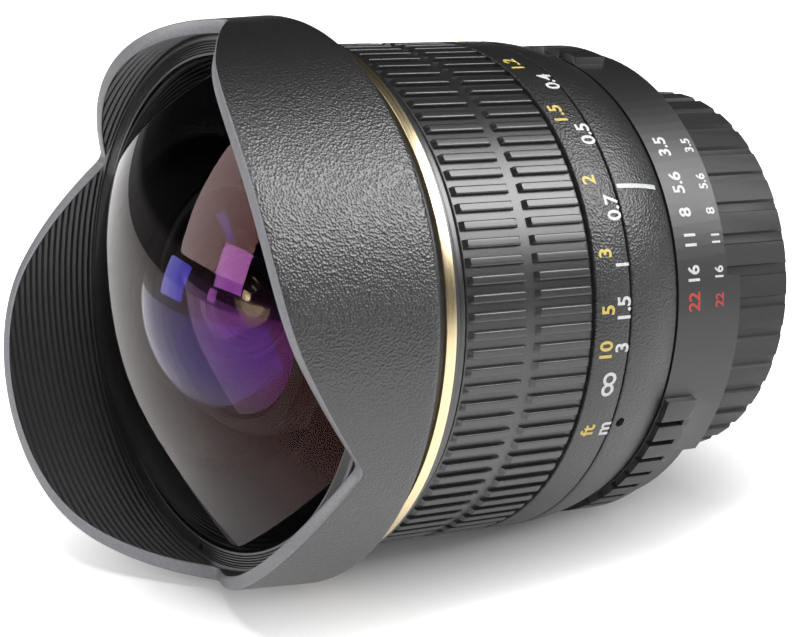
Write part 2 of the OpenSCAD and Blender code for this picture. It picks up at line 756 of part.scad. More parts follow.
// Bar of rectangular section along a radius
module bar(r0, r1, w, z0, z1, a) {
  rotate([0, 0, a]) translate([r0, -w / 2, z0]) cube([r1 - r0, w, z1 - z0]);
}

// Half section of a round element between heights z0 and z1: front and back faces are spheres.
// A positive radius bulges towards the front, a negative one towards the rear, 0 is flat.
module element_half(r, z0, z1, front_r, front_z, back_r, back_z) {
  difference() {
    intersection() {
      ring(0, r, z0, z1);
      if (front_r > 0) translate([0, front_z - front_r]) circle(front_r, $fn = lens_fn);
      if (back_r < 0) translate([0, back_z - back_r]) circle(-back_r, $fn = lens_fn);
    }
    if (front_r < 0) translate([0, front_z - front_r]) circle(-front_r, $fn = lens_fn);
    if (back_r > 0) translate([0, back_z - back_r]) circle(back_r, $fn = lens_fn);
  }
}

// Outline of the hood seen along its short petals: s across the long petals, height over the flange
notch_s = hood_tip_r - petal_across;
petal_from = [notch_s, z_lip + short_petal - sag(short_arc_r, notch_s)];
petal_to = [hood_tip_r, z_tip];
petal_chord = petal_to - petal_from;
flank_slope = atan2(petal_chord[1], petal_chord[0]) + flank_lead;
flank_dir = polar(1, flank_slope);
flank_out = polar(1, flank_slope + 90);
petal_along = petal_chord * flank_dir;
petal_off = petal_chord * flank_out;
flank_len = petal_along - sqrt(-petal_off * petal_off - 2 * petal_arc_r * petal_off);
flank_end = petal_from + flank_len * flank_dir;
petal_centre = flank_end - petal_arc_r * flank_out;

// Rounded bottom of a notch, between the short petal's arc and the long petal's flank
notch_dip = asin(notch_s / short_arc_r);
notch_open = 180 - notch_dip - flank_slope;
notch_axis = flank_slope + notch_open / 2;
notch_centre = petal_from + polar(notch_r / sin(notch_open / 2), notch_axis);
notch_left = notch_centre[0] - notch_r * sin(notch_dip);
petal_turn = flank_slope + 90 - acos((hood_r + over - petal_centre[0]) / petal_arc_r);
rim_steps = 8;
notch_steps = 4;

// Right half of the rim, from the middle of the short petal to the tip of the long one
rim_right = concat(
  [for (k = [0:rim_steps])
    let (s = notch_left * k / rim_steps)
    [s, z_lip + short_petal - sag(short_arc_r, s)]],
  [for (k = [1:notch_steps])
    notch_centre + polar(notch_r, 270 - notch_dip + (notch_dip + flank_slope) * k / notch_steps)],
  [for (k = [0:rim_steps])
    petal_centre + polar(petal_arc_r, flank_slope + 90 - petal_turn * k / rim_steps)]
);
rim_count = len(rim_right);

// Everything in front of the hood's rim
module rim_cut() {
  reach = hood_r + over;
  rotate([0, 0, index_at + hood_turn]) rotate([90, 0, 0]) linear_extrude(2 * reach, center = true)
    polygon(concat(
      [[-reach, z_tip + petal_arc_r]],
      [for (k = [rim_count - 1:-1:1]) [-rim_right[k][0], rim_right[k][1]]],
      rim_right,
      [[reach, z_tip + petal_arc_r]]
    ));
}

hood_in_r = bezel_r + fit_gap + hood_step;
hood_out_r = hood_tip_r - hood_wall;
groove_pitch = (z_tip - z_face) / (hood_grooves + 1);
// Radius of the hood's inner wall at height z
function hood_inner(z) = hood_in_r + (hood_out_r - hood_in_r) * (z - z_face) / (z_tip - z_face);

module hood() {
  color("#202022") place() difference() {
    rotate_extrude() polygon(concat(
      [[ledge_bore, z_hood0], [neck_r, z_hood0], [neck_r, z_lip]],
      [for (a = [-90:22.5:0]) [hood_r - lip_round, z_lip + lip_round] + polar(lip_round, a)],
      [[hood_tip_r, z_tip]],
      [for (i = [hood_grooves:-1:0], k = [0, 1])
        let (z = z_face + (i + (k == 0 ? 1 : groove_root)) * groove_pitch)
        [hood_inner(z) + (k == 0 ? 0 : groove_depth), z]],
      [[hood_in_r, z_face], [bezel_r + fit_gap, z_face], [bezel_r + fit_gap, z_bezel]],
      [[cup_r + fit_gap, z_bezel], [cup_r + fit_gap, z_shelf], [ledge_bore, z_shelf]]
    ));
    rim_cut();
    for (a = hood_screw_angles) {
      rod(screw_r + fit_gap, z_hood0 - over, z_shelf, hood_screw_pcr, a);
      rod(hood_head_r + fit_gap, z_shelf - hood_head_t - fit_gap, z_shelf + over, hood_screw_pcr, a);
    }
  }
}

hood_screw_pcr = (barrel_front_bore + barrel_r) / 2;
hood_screw_angles = [for (k = [0:2]) index_at + hood_screw_turn + third_turn * k];

module hood_screws() {
  color("#5a5a5e") place() for (a = hood_screw_angles) {
    rod(hood_head_r, z_shelf - hood_head_t, z_shelf - fit_gap, hood_screw_pcr, a);
    rod(screw_r, z_hood0 - hood_screw_len, z_shelf - hood_head_t, hood_screw_pcr, a);
  }
}

bezel_pitch = (bezel_r - bezel_lip - bezel_bore) / (bezel_grooves + 1);
// Height of the dome at radius r
function dome_at(r) = dome_top - sag(dome_r, r);

module front_bezel() {
  color("#1d1d1f") place() difference() {
    rotate_extrude() polygon(concat(
      [[cup_bore, z_bezel], [bezel_r, z_bezel], [bezel_r, z_face + bezel_lip_h]],
      [[bezel_r - bezel_lip, z_face + bezel_lip_h], [bezel_r - bezel_lip, z_face]],
      [for (i = [1:bezel_grooves], k = [0:2])
        [bezel_r - bezel_lip - (i - bezel_groove_w * (1 - k / 2)) * bezel_pitch,
          z_face - (k == 1 ? bezel_groove_w * bezel_pitch : 0)]],
      [[bezel_bore, z_face], [bezel_bore, dome_at(bezel_bore) + 2 * seat_gap]],
      [[cup_bore, dome_at(glass_r) + 2 * seat_gap]]
    ));
    for (a = [0, 180])
      rod(spanner_r, z_face - spanner_depth, z_face + over, spanner_pcr, spanner_at + a);
  }
}

spanner_pcr = bezel_r - bezel_lip - spanner_set;
spanner_at = index_at + spanner_turn;

module front_element() {
  color("#20202a", 0.5) place() rotate_extrude()
    element_half(glass_r, z_glass, dome_top, dome_r, dome_top, front_hollow_r, front_hollow_top);
}

module front_cell() {
  color("#2a2a2c") place() rotate_extrude() {
    ring(doublet_r - doublet_lip, doublet_r + doublet_wall, z_doublet - doublet_lip, z_doublet);
    ring(doublet_r + fit_gap, doublet_r + doublet_wall, z_doublet, z_second - cell_floor);
    ring(doublet_r + cell_step, second_r + second_wall, z_second - cell_floor, z_second);
    ring(second_r + fit_gap, second_r + second_wall, z_second, z_glass);
    ring(second_r + fit_gap, second_r + collar_wall, z_glass, z_glass + collar_h);
    ring(second_r + second_wall, cup_r, z_shelf, z_glass);
    ring(cup_bore, cup_r, z_glass, z_bezel);
  }
}

module second_element() {
  color("#c8d4dc", 0.4) place() rotate_extrude()
    element_half(second_r, z_second, second_top, second_front_r, second_top,
      second_hollow_r, second_hollow_top);
}

// Retaining ring whose underside follows a dome of radius ball with its apex at top
module retainer(out_r, w, ball, top, h) {
  rotate_extrude() polygon([
    [out_r - w, top - sag(ball, out_r - w) + seat_gap],
    [out_r, top - sag(ball, out_r - w) + seat_gap],
    [out_r, top - sag(ball, out_r - w) + seat_gap + h],
    [out_r - w, top - sag(ball, out_r - w) + seat_gap + h]
  ]);
}

module second_retainer() {
  color("#303032") place()
    retainer(second_r - fit_gap, retainer_w, second_front_r, second_top, retainer_h);
}

module third_element() {
  color("#c8d4dc", 0.4) place() rotate_extrude()
    element_half(doublet_r, z_doublet, doublet_top, doublet_front_r, doublet_top,
      doublet_cement_r, doublet_mid + seat_gap);
}

module fourth_element() {
  color("#d8d0b8", 0.4) place() rotate_extrude()
    element_half(doublet_r, z_doublet, doublet_mid, doublet_cement_r, doublet_mid, 0, 0);
}

module doublet_retainer() {
  color("#303032") place()
    retainer(doublet_r - fit_gap, doublet_ring_w, doublet_front_r, doublet_top, doublet_ring_h);
}

module gold_ring() {
  bore = barrel_r + fit_gap;
  color("#d8bd7a") place() rotate_extrude() polygon([
    [bore, z_gold0],
    [gold_rear_r, z_gold0],
    [gold_rear_r, z_hood0 - gold_band - gold_slope],
    [gold_front_r, z_hood0 - gold_band],
    [gold_front_r, z_hood0],
    [bore, z_hood0]
  ]);
}

module trim_ring() {
  color("#101012") place() tube(barrel_r + fit_gap, trim_r, z_trim0, z_gold0);
}

// Sweep of the focus key and of the drive pin, widened by the piece's half width at radius r
function key_sweep(half, r) = [
  key_at - throw_near - asin((half + pass_gap) / r),
  key_at + throw_far + asin((half + pass_gap) / r)
];
function bar_sweep(half, r) = [
  bar_at - turn_open - asin((half + pass_gap) / r),
  bar_at + turn_closed + asin((half + pass_gap) / r)
];

guide_screw_pcr = (barrel_rear_bore + barrel_front_bore) / 2;
guide_screw_angles = [for (k = [0:2]) key_at + guide_screw_turn + guide_screw_step * k];
mount_screw_step = 360 / mount_screw_count;
mount_screw_angles = [for (k = [0:mount_screw_count - 1]) bar_mid + (k + 0.5) * mount_screw_step];
set_screw_angles = [for (k = [0:2]) set_screw_at - third_turn * k];

module main_barrel() {
  key_slot = key_sweep(key_w / 2, barrel_rear_bore);
  pin_slot = bar_sweep(drive_pin_r, barrel_rear_bore);
  color("#2c2c2f") place() difference() {
    union() {
      tube(barrel_rear_bore, barrel_rear_r, flange_t, z_index0);
      tube(barrel_rear_bore, barrel_r, z_index0, guide_seat);
      tube(barrel_front_bore, barrel_r, guide_seat, z_hood0);
    }
    sector(barrel_rear_bore - over, barrel_r + over, key_z0 - pass_gap, key_z1 + pass_gap,
      key_slot[0], key_slot[1]);
    sector(barrel_rear_bore - over, barrel_rear_r + over, drive_pin_z - drive_pin_r - pass_gap,
      drive_pin_z + drive_pin_r + pass_gap, pin_slot[0], pin_slot[1]);
    for (a = hood_screw_angles)
      rod(screw_r + fit_gap, z_hood0 - hood_screw_len - fit_gap, z_hood0 + over, hood_screw_pcr, a);
    for (a = guide_screw_angles)
      rod(screw_r + fit_gap, guide_seat - guide_screw_len - fit_gap, guide_seat + over,
        guide_screw_pcr, a);
    for (a = mount_screw_angles)
      rod(screw_r + fit_gap, flange_t - over, flange_t + mount_screw_len + fit_gap, mount_screw_pcr, a);
    for (a = set_screw_angles)
      spoke(set_screw_r + fit_gap, barrel_r - set_screw_bite - fit_gap, barrel_r + over, set_screw_z, a);
    rod(detent_r + fit_gap, z_index0 - over, z_index0 + detent_depth, detent_pcr, detent_at);
  }
}

index_bore = barrel_r + fit_gap;
index_taper = scale_r - index_rear_r;
// Radius of the taper's arc, which starts level at the scale band and ends at the rear edge
index_arc_r = (index_len * index_len + index_taper * index_taper) / (2 * index_taper);

module index_barrel() {
  color("#202022") place() difference() {
    rotate_extrude() intersection() {
      ring(index_bore, scale_r, z_index0, z_index1);
      translate([scale_r - index_arc_r, z_index1]) circle(index_arc_r, $fn = lens_fn);
    }
    for (a = set_screw_angles)
      spoke(set_screw_r + fit_gap, barrel_r - over, scale_r + over, set_screw_z, a);
  }
}

module set_screws() {
  color("#18181a") place() for (a = set_screw_angles)
    spoke(set_screw_r, barrel_r - set_screw_bite, barrel_r - set_screw_bite + set_screw_len,
      set_screw_z, a);
}

follower_z0 = follower_z - mm_per_deg * throw_far;
follower_z1 = follower_z + mm_per_deg * throw_near;
clip_z = sleeve_z0 - clip_gap - clip_t;
iris_screw_pcr = iris_rim_bore + iris_rim / 2;
iris_screw_angles = [for (k = [0:2]) bar_mid + (k + 0.5) * third_turn];

module guide_tube() {
  passage = bar_sweep(arm_w / 2, bar_in_r);
  color("#3a3a3d") place() difference() {
    union() {
      tube(guide_bore, guide_r, flange_t, z_iris);
      tube(guide_bore, barrel_front_bore - fit_gap, guide_seat, z_iris);
    }
    for (a = [0, 180]) rotate([0, 0, follower_at + a])
      translate([guide_bore - over, -follower_r - run_gap, follower_z0 - follower_r - pass_gap])
        cube([guide_wall + 2 * over, 2 * (follower_r + run_gap),
          follower_z1 - follower_z0 + 2 * (follower_r + pass_gap)]);
    sector(bar_in_r - pass_gap, bar_out_r + pass_gap, guide_seat - over, z_iris + over, passage[0],
      passage[1]);
    tube(guide_r - clip_depth, guide_r + over, clip_z - fit_gap, clip_z + clip_t + fit_gap);
    for (a = guide_screw_angles)
      rod(screw_r + fit_gap, guide_seat - over, z_iris + over, guide_screw_pcr, a);
    for (a = iris_screw_angles)
      rod(iris_screw_r + fit_gap, z_iris - iris_screw_bite - fit_gap, z_iris + over, iris_screw_pcr, a);
  }
}

module guide_screws() {
  color("#8a8a8e") place() for (a = guide_screw_angles) {
    rod(guide_head_r, z_iris, z_iris + guide_head_t, guide_screw_pcr, a);
    rod(screw_r, guide_seat - guide_screw_len, z_iris, guide_screw_pcr, a);
  }
}

module sleeve_clip() {
  color("#9a9a9e") place()
    sector(guide_r - clip_depth + fit_gap, guide_r + clip_depth, clip_z, clip_z + clip_t,
      index_at, index_at + clip_span);
}

module iris_base() {
  window = bar_sweep(arm_w / 2, iris_rim_bore);
  color("#2c2c2f") place() difference() {
    union() {
      tube(iris_bore, iris_rim_r, z_iris, z_iris + iris_base_t);
      tube(iris_rim_bore, iris_rim_r, z_iris, z_cover);
    }
    sector(iris_rim_bore - over, iris_rim_r + over, z_actuator - pass_gap, z_cover + over,
      window[0], window[1]);
    for (i = [0:blade_count - 1])
      rod(pivot_pin_r + run_gap, z_iris - over, z_iris + iris_base_t + over, pivot_r, blade_at(i));
    for (a = iris_screw_angles)
      rod(iris_screw_r + fit_gap, z_iris - over, z_cover + over, iris_screw_pcr, a);
  }
}

// Polar angle of a blade's pivot
function blade_at(i) = index_at + 360 / blade_count * i;

module iris_cover() {
  color("#2c2c2f") place() difference() {
    tube(actuator_in_r, iris_rim_r, z_cover, z_cover + cover_t);
    for (a = iris_screw_angles)
      rod(iris_screw_r + fit_gap, z_cover - over, z_cover + cover_t + over, iris_screw_pcr, a);
  }
}

module iris_screws() {
  color("#8a8a8e") place() for (a = iris_screw_angles) {
    rod(iris_screw_r, z_iris - iris_screw_bite, z_cover + cover_t, iris_screw_pcr, a);
    rod(2 * iris_screw_r, z_cover + cover_t, z_cover + cover_t + iris_head_t, iris_screw_pcr, a);
  }
}

// One blade: a crescent with an ear for its pivot pin below and its cam pin above
module iris_blade(i) {
  z = z_layers + i * blade_pitch;
  color("#18181a") place() rotate([0, 0, blade_at(i)])
    translate([pivot_r, 0, 0]) rotate([0, 0, swing_rest]) translate([-pivot_r, 0, 0]) {
      sector(blade_inner_r, blade_outer_r, z, z + blade_t, blade_from, blade_to);
      sector(blade_outer_r - ear_lap, pivot_r + ear_out, z, z + blade_t,
        -cam_pin_back - ear_back, ear_front);
      rod(pivot_pin_r, z_iris + pass_gap, z + blade_t / 2, pivot_r, 0);
      rod(cam_pin_r, z + blade_t / 2, z_actuator + actuator_t, pivot_r + cam_pin_out, -cam_pin_back);
    }
}

track_steps = 6;
track_step = 0.1;
track_half = cam_pin_r + run_gap;
track_turns = [for (k = [0:track_steps]) k * (turn_open + turn_closed) / track_steps - turn_open];
// Unit vectors along and across the cam track at turn t
function track_along(t) =
  let (d = cam_track(t + track_step) - cam_track(t - track_step))
  d / norm(d);
function track_side(t) = turned(track_along(t), 90);
// Round end of the slot at turn t; way is 1 at the closed end and -1 at the open end
function track_end(t, way) = [for (a = [36:36:144])
  cam_track(t) + way * track_half * (cos(a) * track_side(t) + sin(a) * track_along(t))];

module cam_slot() {
  linear_extrude(actuator_t + 2 * over) polygon(concat(
    [for (t = track_turns) cam_track(t) + track_half * track_side(t)],
    track_end(turn_closed, 1),
    [for (k = [track_steps:-1:0])
      cam_track(track_turns[k]) - track_half * track_side(track_turns[k])],
    track_end(-turn_open, -1)
  ));
}

module iris_actuator() {
  color("#4a4a4e") place() difference() {
    union() {
      tube(actuator_in_r, actuator_r, z_actuator, z_actuator + actuator_t);
      bar(actuator_r - lap, bar_out_r - arm_inset, arm_w - 2 * arm_inset,
        z_actuator + arm_inset, z_actuator + actuator_t - arm_inset, bar_at);
      bar(bar_in_r, bar_out_r, arm_w, bar_foot + lever_t / 2, z_actuator + actuator_t / 2, bar_at);
      bar(lever_in_r + arm_inset, bar_out_r - arm_inset, arm_w - 2 * arm_inset,
        bar_foot, bar_foot + lever_t, bar_at);
      bar(lever_in_r, lever_in_r + lever_w, arm_w, -lever_reach, bar_foot + lever_t / 2, bar_at);
    }
    for (i = [0:blade_count - 1])
      rotate([0, 0, blade_at(i)]) translate([0, 0, z_actuator - over]) cam_slot();
    spoke(drive_pin_r + fit_gap, bar_in_r - over, bar_out_r + over, drive_pin_z, bar_at);
  }
}

lock_notch_at = index_at + lock_notch_turn;

module mount_ring() {
  color("#b8b8ba") place() difference() {
    union() {
      tube(spigot_bore, flange_r, 0, flange_t);
      tube(spigot_bore, spigot_r, -spigot_len, 0);
      tube(ledge_in_r, spigot_bore + lug_lap, baffle_z, baffle_z + ledge_h);
      for (k = [0:2])
        sector(spigot_r - lug_lap, lug_r, z_lug, z_lug + lug_t,
          index_at + third_turn * k - lug_span / 2, index_at + third_turn * k + lug_span / 2);
    }
    for (a = mount_screw_angles) {
      rod(screw_r + fit_gap, -over, flange_t + over, mount_screw_pcr, a);
      rod(mount_head_r + fit_gap, -over, mount_head_sink + mount_head_t + fit_gap, mount_screw_pcr, a);
    }
    for (a = baffle_screw_angles)
      rod(baffle_screw_r + fit_gap, baffle_z - over, baffle_z + over, baffle_pcr, a);
    rod(lock_notch_r, -over, lock_notch_depth, mount_screw_pcr - 2 * mount_head_r, lock_notch_at);
  }
}

module mount_screws() {
  color("#8a8a8e") place() for (a = mount_screw_angles) {
    rod(mount_head_r, mount_head_sink, mount_head_sink + mount_head_t, mount_screw_pcr, a);
    rod(screw_r, mount_head_sink + mount_head_t, flange_t + mount_screw_len, mount_screw_pcr, a);
  }
}

baffle_screw_angles = [for (k = [0:2]) bar_mid + (k + 0.5) * third_turn];

module rear_baffle() {
  slot = bar_sweep(arm_w / 2, lever_in_r);
  color("#1a1a1c") place() difference() {
    tube(baffle_in_r, spigot_bore - fit_gap, baffle_z - baffle_t, baffle_z);
    sector(lever_in_r - pass_gap, lever_in_r + lever_w + 2 * pass_gap, baffle_z - baffle_t - over,
      baffle_z + over,
      slot[0], slot[1]);
    for (a = baffle_screw_angles)
      rod(baffle_screw_r + fit_gap, baffle_z - baffle_t - over, baffle_z + over, baffle_pcr, a);
  }
}

module baffle_screws() {
  color("#6a6a6e") place() for (a = baffle_screw_angles) {
    rod(baffle_screw_r, baffle_z - baffle_t, baffle_z + baffle_screw_bite, baffle_pcr, a);
    rod(baffle_head_r, baffle_z - baffle_t - baffle_head_t, baffle_z - baffle_t, baffle_pcr, a);
  }
}

detent_ball_z = z_aperture1 - detent_relief + detent_lift + detent_r;
detent_angles = concat([-turn_open], [for (k = [4:-1:0]) turn_closed - k * stop_step]);

module detent_ball() {
  color("#b0b0b4") place() rotate([0, 0, detent_at])
    translate([detent_pcr, 0, detent_ball_z]) sphere(r = detent_r);
}

// The click spring is hidden in its pocket, so its coils are one plain sleeve
module detent_spring() {
  color("#9a9a9e") place() rotate([0, 0, detent_at]) translate([detent_pcr, 0, 0])
    tube(spring_bore, detent_r - fit_gap, detent_ball_z + detent_r - spring_lap,
      z_index0 + detent_depth);
}

focus_bore = barrel_r + run_gap;
key_screw_pcr = (focus_bore + key_out_r) / 2;
key_screw_side = key_w / 2 - key_screw_in;

module focus_ring() {
  color("#232325") place() difference() {
    union() {
      tube(focus_bore, scale_r, z_focus0, z_scale1);
      tube(focus_bore, focus_core_r, z_scale1, z_grip1);
    }
    bar(focus_bore - 2 * over, key_out_r + fit_gap, key_w + 2 * fit_gap, z_focus0 - over, key_z1,
      key_at);
    for (y = [-1, 1]) key_screw_line(y)
      cylinder(r = key_screw_r + fit_gap, h = key_z1 + key_screw_bite + fit_gap);
  }
}

// Puts a piece on the line of one of the key's two screws
module key_screw_line(y) {
  rotate([0, 0, key_at]) translate([key_screw_pcr, y * key_screw_side, 0]) children();
}

// Closed band with ribs that run along the axis
module ribbed_band(n, base_r, top_r, share, z0, z1) {
  pitch = 360 / n;
  top = share * pitch / 2;
  foot = top + pitch * rib_flank;
  translate([0, 0, z0]) linear_extrude(z1 - z0) polygon([
    for (i = [0:n - 1], k = [0:3])
      polar(k == 0 || k == 3 ? base_r : top_r, i * pitch + [-foot, -top, top, foot][k])
  ]);
}

module rubber_grip() {
  middle = (z_scale1 + z_grip1) / 2;
  color("#2b2b2e") place() difference() {
    union() {
      cylinder_band(z_scale1, z_scale1 + grip_edge);
      rib_row(z_scale1 + grip_edge, middle - row_gap / 2);
      cylinder_band(middle - row_gap / 2, middle + row_gap / 2);
      rib_row(middle + row_gap / 2, z_grip1 - grip_edge);
      cylinder_band(z_grip1 - grip_edge, z_grip1);
    }
    translate([0, 0, z_scale1 - over]) cylinder(r = focus_core_r + fit_gap, h = grip_len + 2 * over);
  }
}

// One row of the rubber grip's ribs
module rib_row(z0, z1) {
  rotate([0, 0, rib_turn]) ribbed_band(grip_ribs, grip_base_r + seat_gap, grip_top_r, rib_share, z0, z1);
}

// Plain stretch of the rubber grip
module cylinder_band(z0, z1) {
  translate([0, 0, z0]) cylinder(r = grip_base_r, h = z1 - z0);
}

module focus_key() {
  color("#77777b") place() difference() {
    bar(sleeve_bore + pass_gap, key_out_r, key_w, key_z0, key_z1, key_at);
    for (y = [-1, 1]) key_screw_line(y) cylinder(r = key_screw_r + fit_gap, h = key_z1 + over);
  }
}

module key_screws() {
  color("#8a8a8e") place() for (y = [-1, 1]) key_screw_line(y) {
    translate([0, 0, key_z0 - key_head_t]) cylinder(r = key_head_r, h = key_head_t);
    translate([0, 0, key_z0]) cylinder(r = key_screw_r, h = key_t + key_screw_bite);
  }
}

module cam_sleeve() {
  lead = asin((follower_r + pass_gap) / sleeve_bore);
  span = (throw_far + throw_near + 2 * lead) / cam_steps;
  half = follower_r + run_gap + mm_per_deg * (span / 2 + lead);
  color("#55555a") place() difference() {
    tube(sleeve_bore, sleeve_r, sleeve_z0, sleeve_z1);
    for (a = [0, 180], k = [0:cam_steps - 1]) {
      from = k * span - throw_far - lead;
      z = follower_z + mm_per_deg * (from + span / 2);
      sector(sleeve_bore - over, sleeve_r + over, z - half, z + half,
        follower_at + a + from, follower_at + a + from + span);
    }
    bar(sleeve_bore - over, sleeve_r + over, key_w + 2 * run_gap, key_z0 - run_gap,
      sleeve_z1 + over, key_at);
  }
}

module rear_cell() {
  color("#2a2a2c") place() difference() {
    rotate_extrude() {
      ring(rear_bore, rear_cell_r, rear_cell_z, z_rear_lip);
      ring(rear_lip_bore, rear_cell_r, z_rear_lip, z_rear_lip + rear_lip_t);
    }
    for (a = [0, 180])
      spoke(follower_r + fit_gap, rear_bore + follower_seat, rear_cell_r + over, follower_z,
        follower_at + a);
  }
}

module cam_followers() {
  color("#c0a050") place() for (a = [0, 180])
    spoke(follower_r, rear_bore + follower_seat + fit_gap, sleeve_r - pass_gap, follower_z,
      follower_at + a);
}

module fifth_element() {
  color("#c8d4dc", 0.4) place() rotate_extrude()
    element_half(rear_lens_r, sixth_back, fifth_top, fifth_front_r, fifth_top,
      -fifth_cement_r, fifth_cement + seat_gap);
}

module sixth_element() {
  color("#d8d0b8", 0.4) place() rotate_extrude()
    element_half(rear_lens_r, sixth_back, fifth_cement + sag(fifth_cement_r, rear_lens_r),
      -fifth_cement_r, fifth_cement, 0, 0);
}

module front_spacer() {
  color("#303032") place()
    tube(spacer_in, rear_lens_r, seventh_top - sag(seventh_front_r, spacer_in) + seat_gap, sixth_back);
}

module seventh_element() {
  color("#c8d4dc", 0.4) place() rotate_extrude()
    element_half(rear_lens_r, eighth_back, seventh_top, seventh_front_r, seventh_top,
      eighth_cement_r, eighth_cement + seat_gap);
}

module eighth_element() {
  color("#d8d0b8", 0.4) place() rotate_extrude()
    element_half(rear_lens_r, eighth_back, eighth_cement, eighth_cement_r, eighth_cement, 0, 0);
}

module middle_spacer() {
  color("#303032") place()
    tube(spacer_in, rear_lens_r, ninth_top - sag(ninth_front_r, spacer_in) + seat_gap, eighth_back);
}

module ninth_element() {
  color("#c8d4dc", 0.4) place() rotate_extrude()
    element_half(rear_lens_r, ninth_back, ninth_top, ninth_front_r, ninth_top, -ninth_back_r,
      ninth_back);
}

module rear_spacer() {
  color("#303032") place()
    tube(spacer_in, rear_lens_r, tenth_rim, ninth_back + sag(ninth_back_r, spacer_in) - seat_gap);
}

module tenth_element() {
  color("#c8d4dc", 0.4) place() rotate_extrude()
    element_half(rear_lens_r, z_tenth, tenth_rim, -tenth_front_r,
      tenth_rim - sag(tenth_front_r, spacer_in - tenth_rim_w), 0, 0);
}

module rear_retainer() {
  color("#303032") place() tube(rear_lens_r - rear_retainer_w, rear_lens_r, rear_cell_z, z_tenth);
}

aperture_bore = barrel_rear_r + run_gap;
skirt_bore = flange_r + pass_gap;
z_skirt = z_aperture0 + ridge_len;
z_bearing = flange_t + pass_gap;
ridge_from = index_at - ridge_far;
ridge_to = index_at - ridge_near;
grip_starts = [index_at - grip_before - grip_span, index_at + grip_after];
z_grip0 = z_aperture1 - grip_axial - grip_set;
drive_pin_end = aperture_r - drive_pin_cover;

module aperture_ring() {
  color("#161618") place() difference() {
    union() {
      rotate_extrude() difference() {
        ring(aperture_bore, aperture_r, z_aperture0, z_aperture1);
        ring(aperture_bore - over, skirt_bore, z_aperture0 - over, z_bearing);
        ring(detent_pcr - detent_r - detent_clear, detent_pcr + detent_r + detent_clear,
          z_aperture1 - detent_relief, z_aperture1 + over);
      }
      for (a = grip_starts)
        sector(aperture_r - lap, aperture_r + grip_h, z_grip0, z_grip0 + grip_axial, a, a + grip_span);
    }
    sector(skirt_bore - over, aperture_r + over, z_aperture0 - over, z_skirt, ridge_to,
      ridge_from + 360);
    for (a = grip_starts, k = [1:grip_slots])
      bar(aperture_r - slot_sink, aperture_r + grip_h + over, slot_w,
        z_grip0 + slot_floor, z_aperture1 + over, a + k * slot_pitch);
    for (t = detent_angles)
      rod(click_r, z_aperture1 - detent_relief - click_depth, z_aperture1, detent_pcr, detent_at - t);
    spoke(drive_pin_r + fit_gap, aperture_bore - over, drive_pin_end + fit_gap, drive_pin_z, bar_at);
  }
}

module drive_pin() {
  color("#8a8a8e") place() spoke(drive_pin_r, bar_in_r + pass_gap, drive_pin_end, drive_pin_z, bar_at);
}

cap_z0 = -cap_gap;
cap_z1 = cap_z0 - cap_len;
cap_floor_z = cap_z1 + cap_back;
cap_round_r = cap_rib_r + cap_round_over - cap_round;

module rear_cap() {
  color("#19191b") place() {
    difference() {
      intersection() {
        ribbed_band(cap_ribs, cap_r, cap_rib_r, cap_rib_share, cap_z1, cap_z0);
        rotate_extrude() {
          ring(0, cap_round_r, cap_z1, cap_z0);
          ring(0, cap_rib_r + over, cap_z1 + cap_round, cap_z0);
          translate([cap_round_r, cap_z1 + cap_round]) intersection() {
            circle(cap_round);
            ring(0, cap_round, -cap_round, 0);
          }
        }
      }
      translate([0, 0, cap_floor_z]) cylinder(r = cap_bore, h = cap_len);
    }
    for (k = [0:2]) {
      middle = index_at + (k + 0.5) * third_turn;
      sector(spigot_r + pass_gap, cap_bore + cap_lap, z_lug + lug_t + pass_gap, cap_z0 - cap_tab_set,
        middle - cap_tab_span / 2, middle + cap_tab_span / 2);
    }
  }
}

hood();
front_bezel();
front_element();
front_cell();
second_element();
second_retainer();
third_element();
fourth_element();
doublet_retainer();
hood_screws();
gold_ring();
trim_ring();
main_barrel();
index_barrel();
set_screws();
guide_tube();
guide_screws();
sleeve_clip();
iris_base();
iris_cover();
iris_screws();
mount_ring();
mount_screws();
rear_baffle();
baffle_screws();
detent_ball();
detent_spring();
focus_ring();
rubber_grip();
focus_key();
key_screws();
cam_sleeve();
rear_cell();
cam_followers();
fifth_element();
sixth_element();
front_spacer();
seventh_element();
eighth_element();
middle_spacer();
ninth_element();
rear_spacer();
tenth_element();
rear_retainer();
aperture_ring();
drive_pin();
iris_actuator();
for (i = [0:blade_count - 1])
  iris_blade(i);
rear_cap();
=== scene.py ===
import json
from math import asin, atan2, cos, degrees, log2, pi, radians, sin, sqrt, tan

import bmesh
import bpy
from mathutils import Matrix, Vector

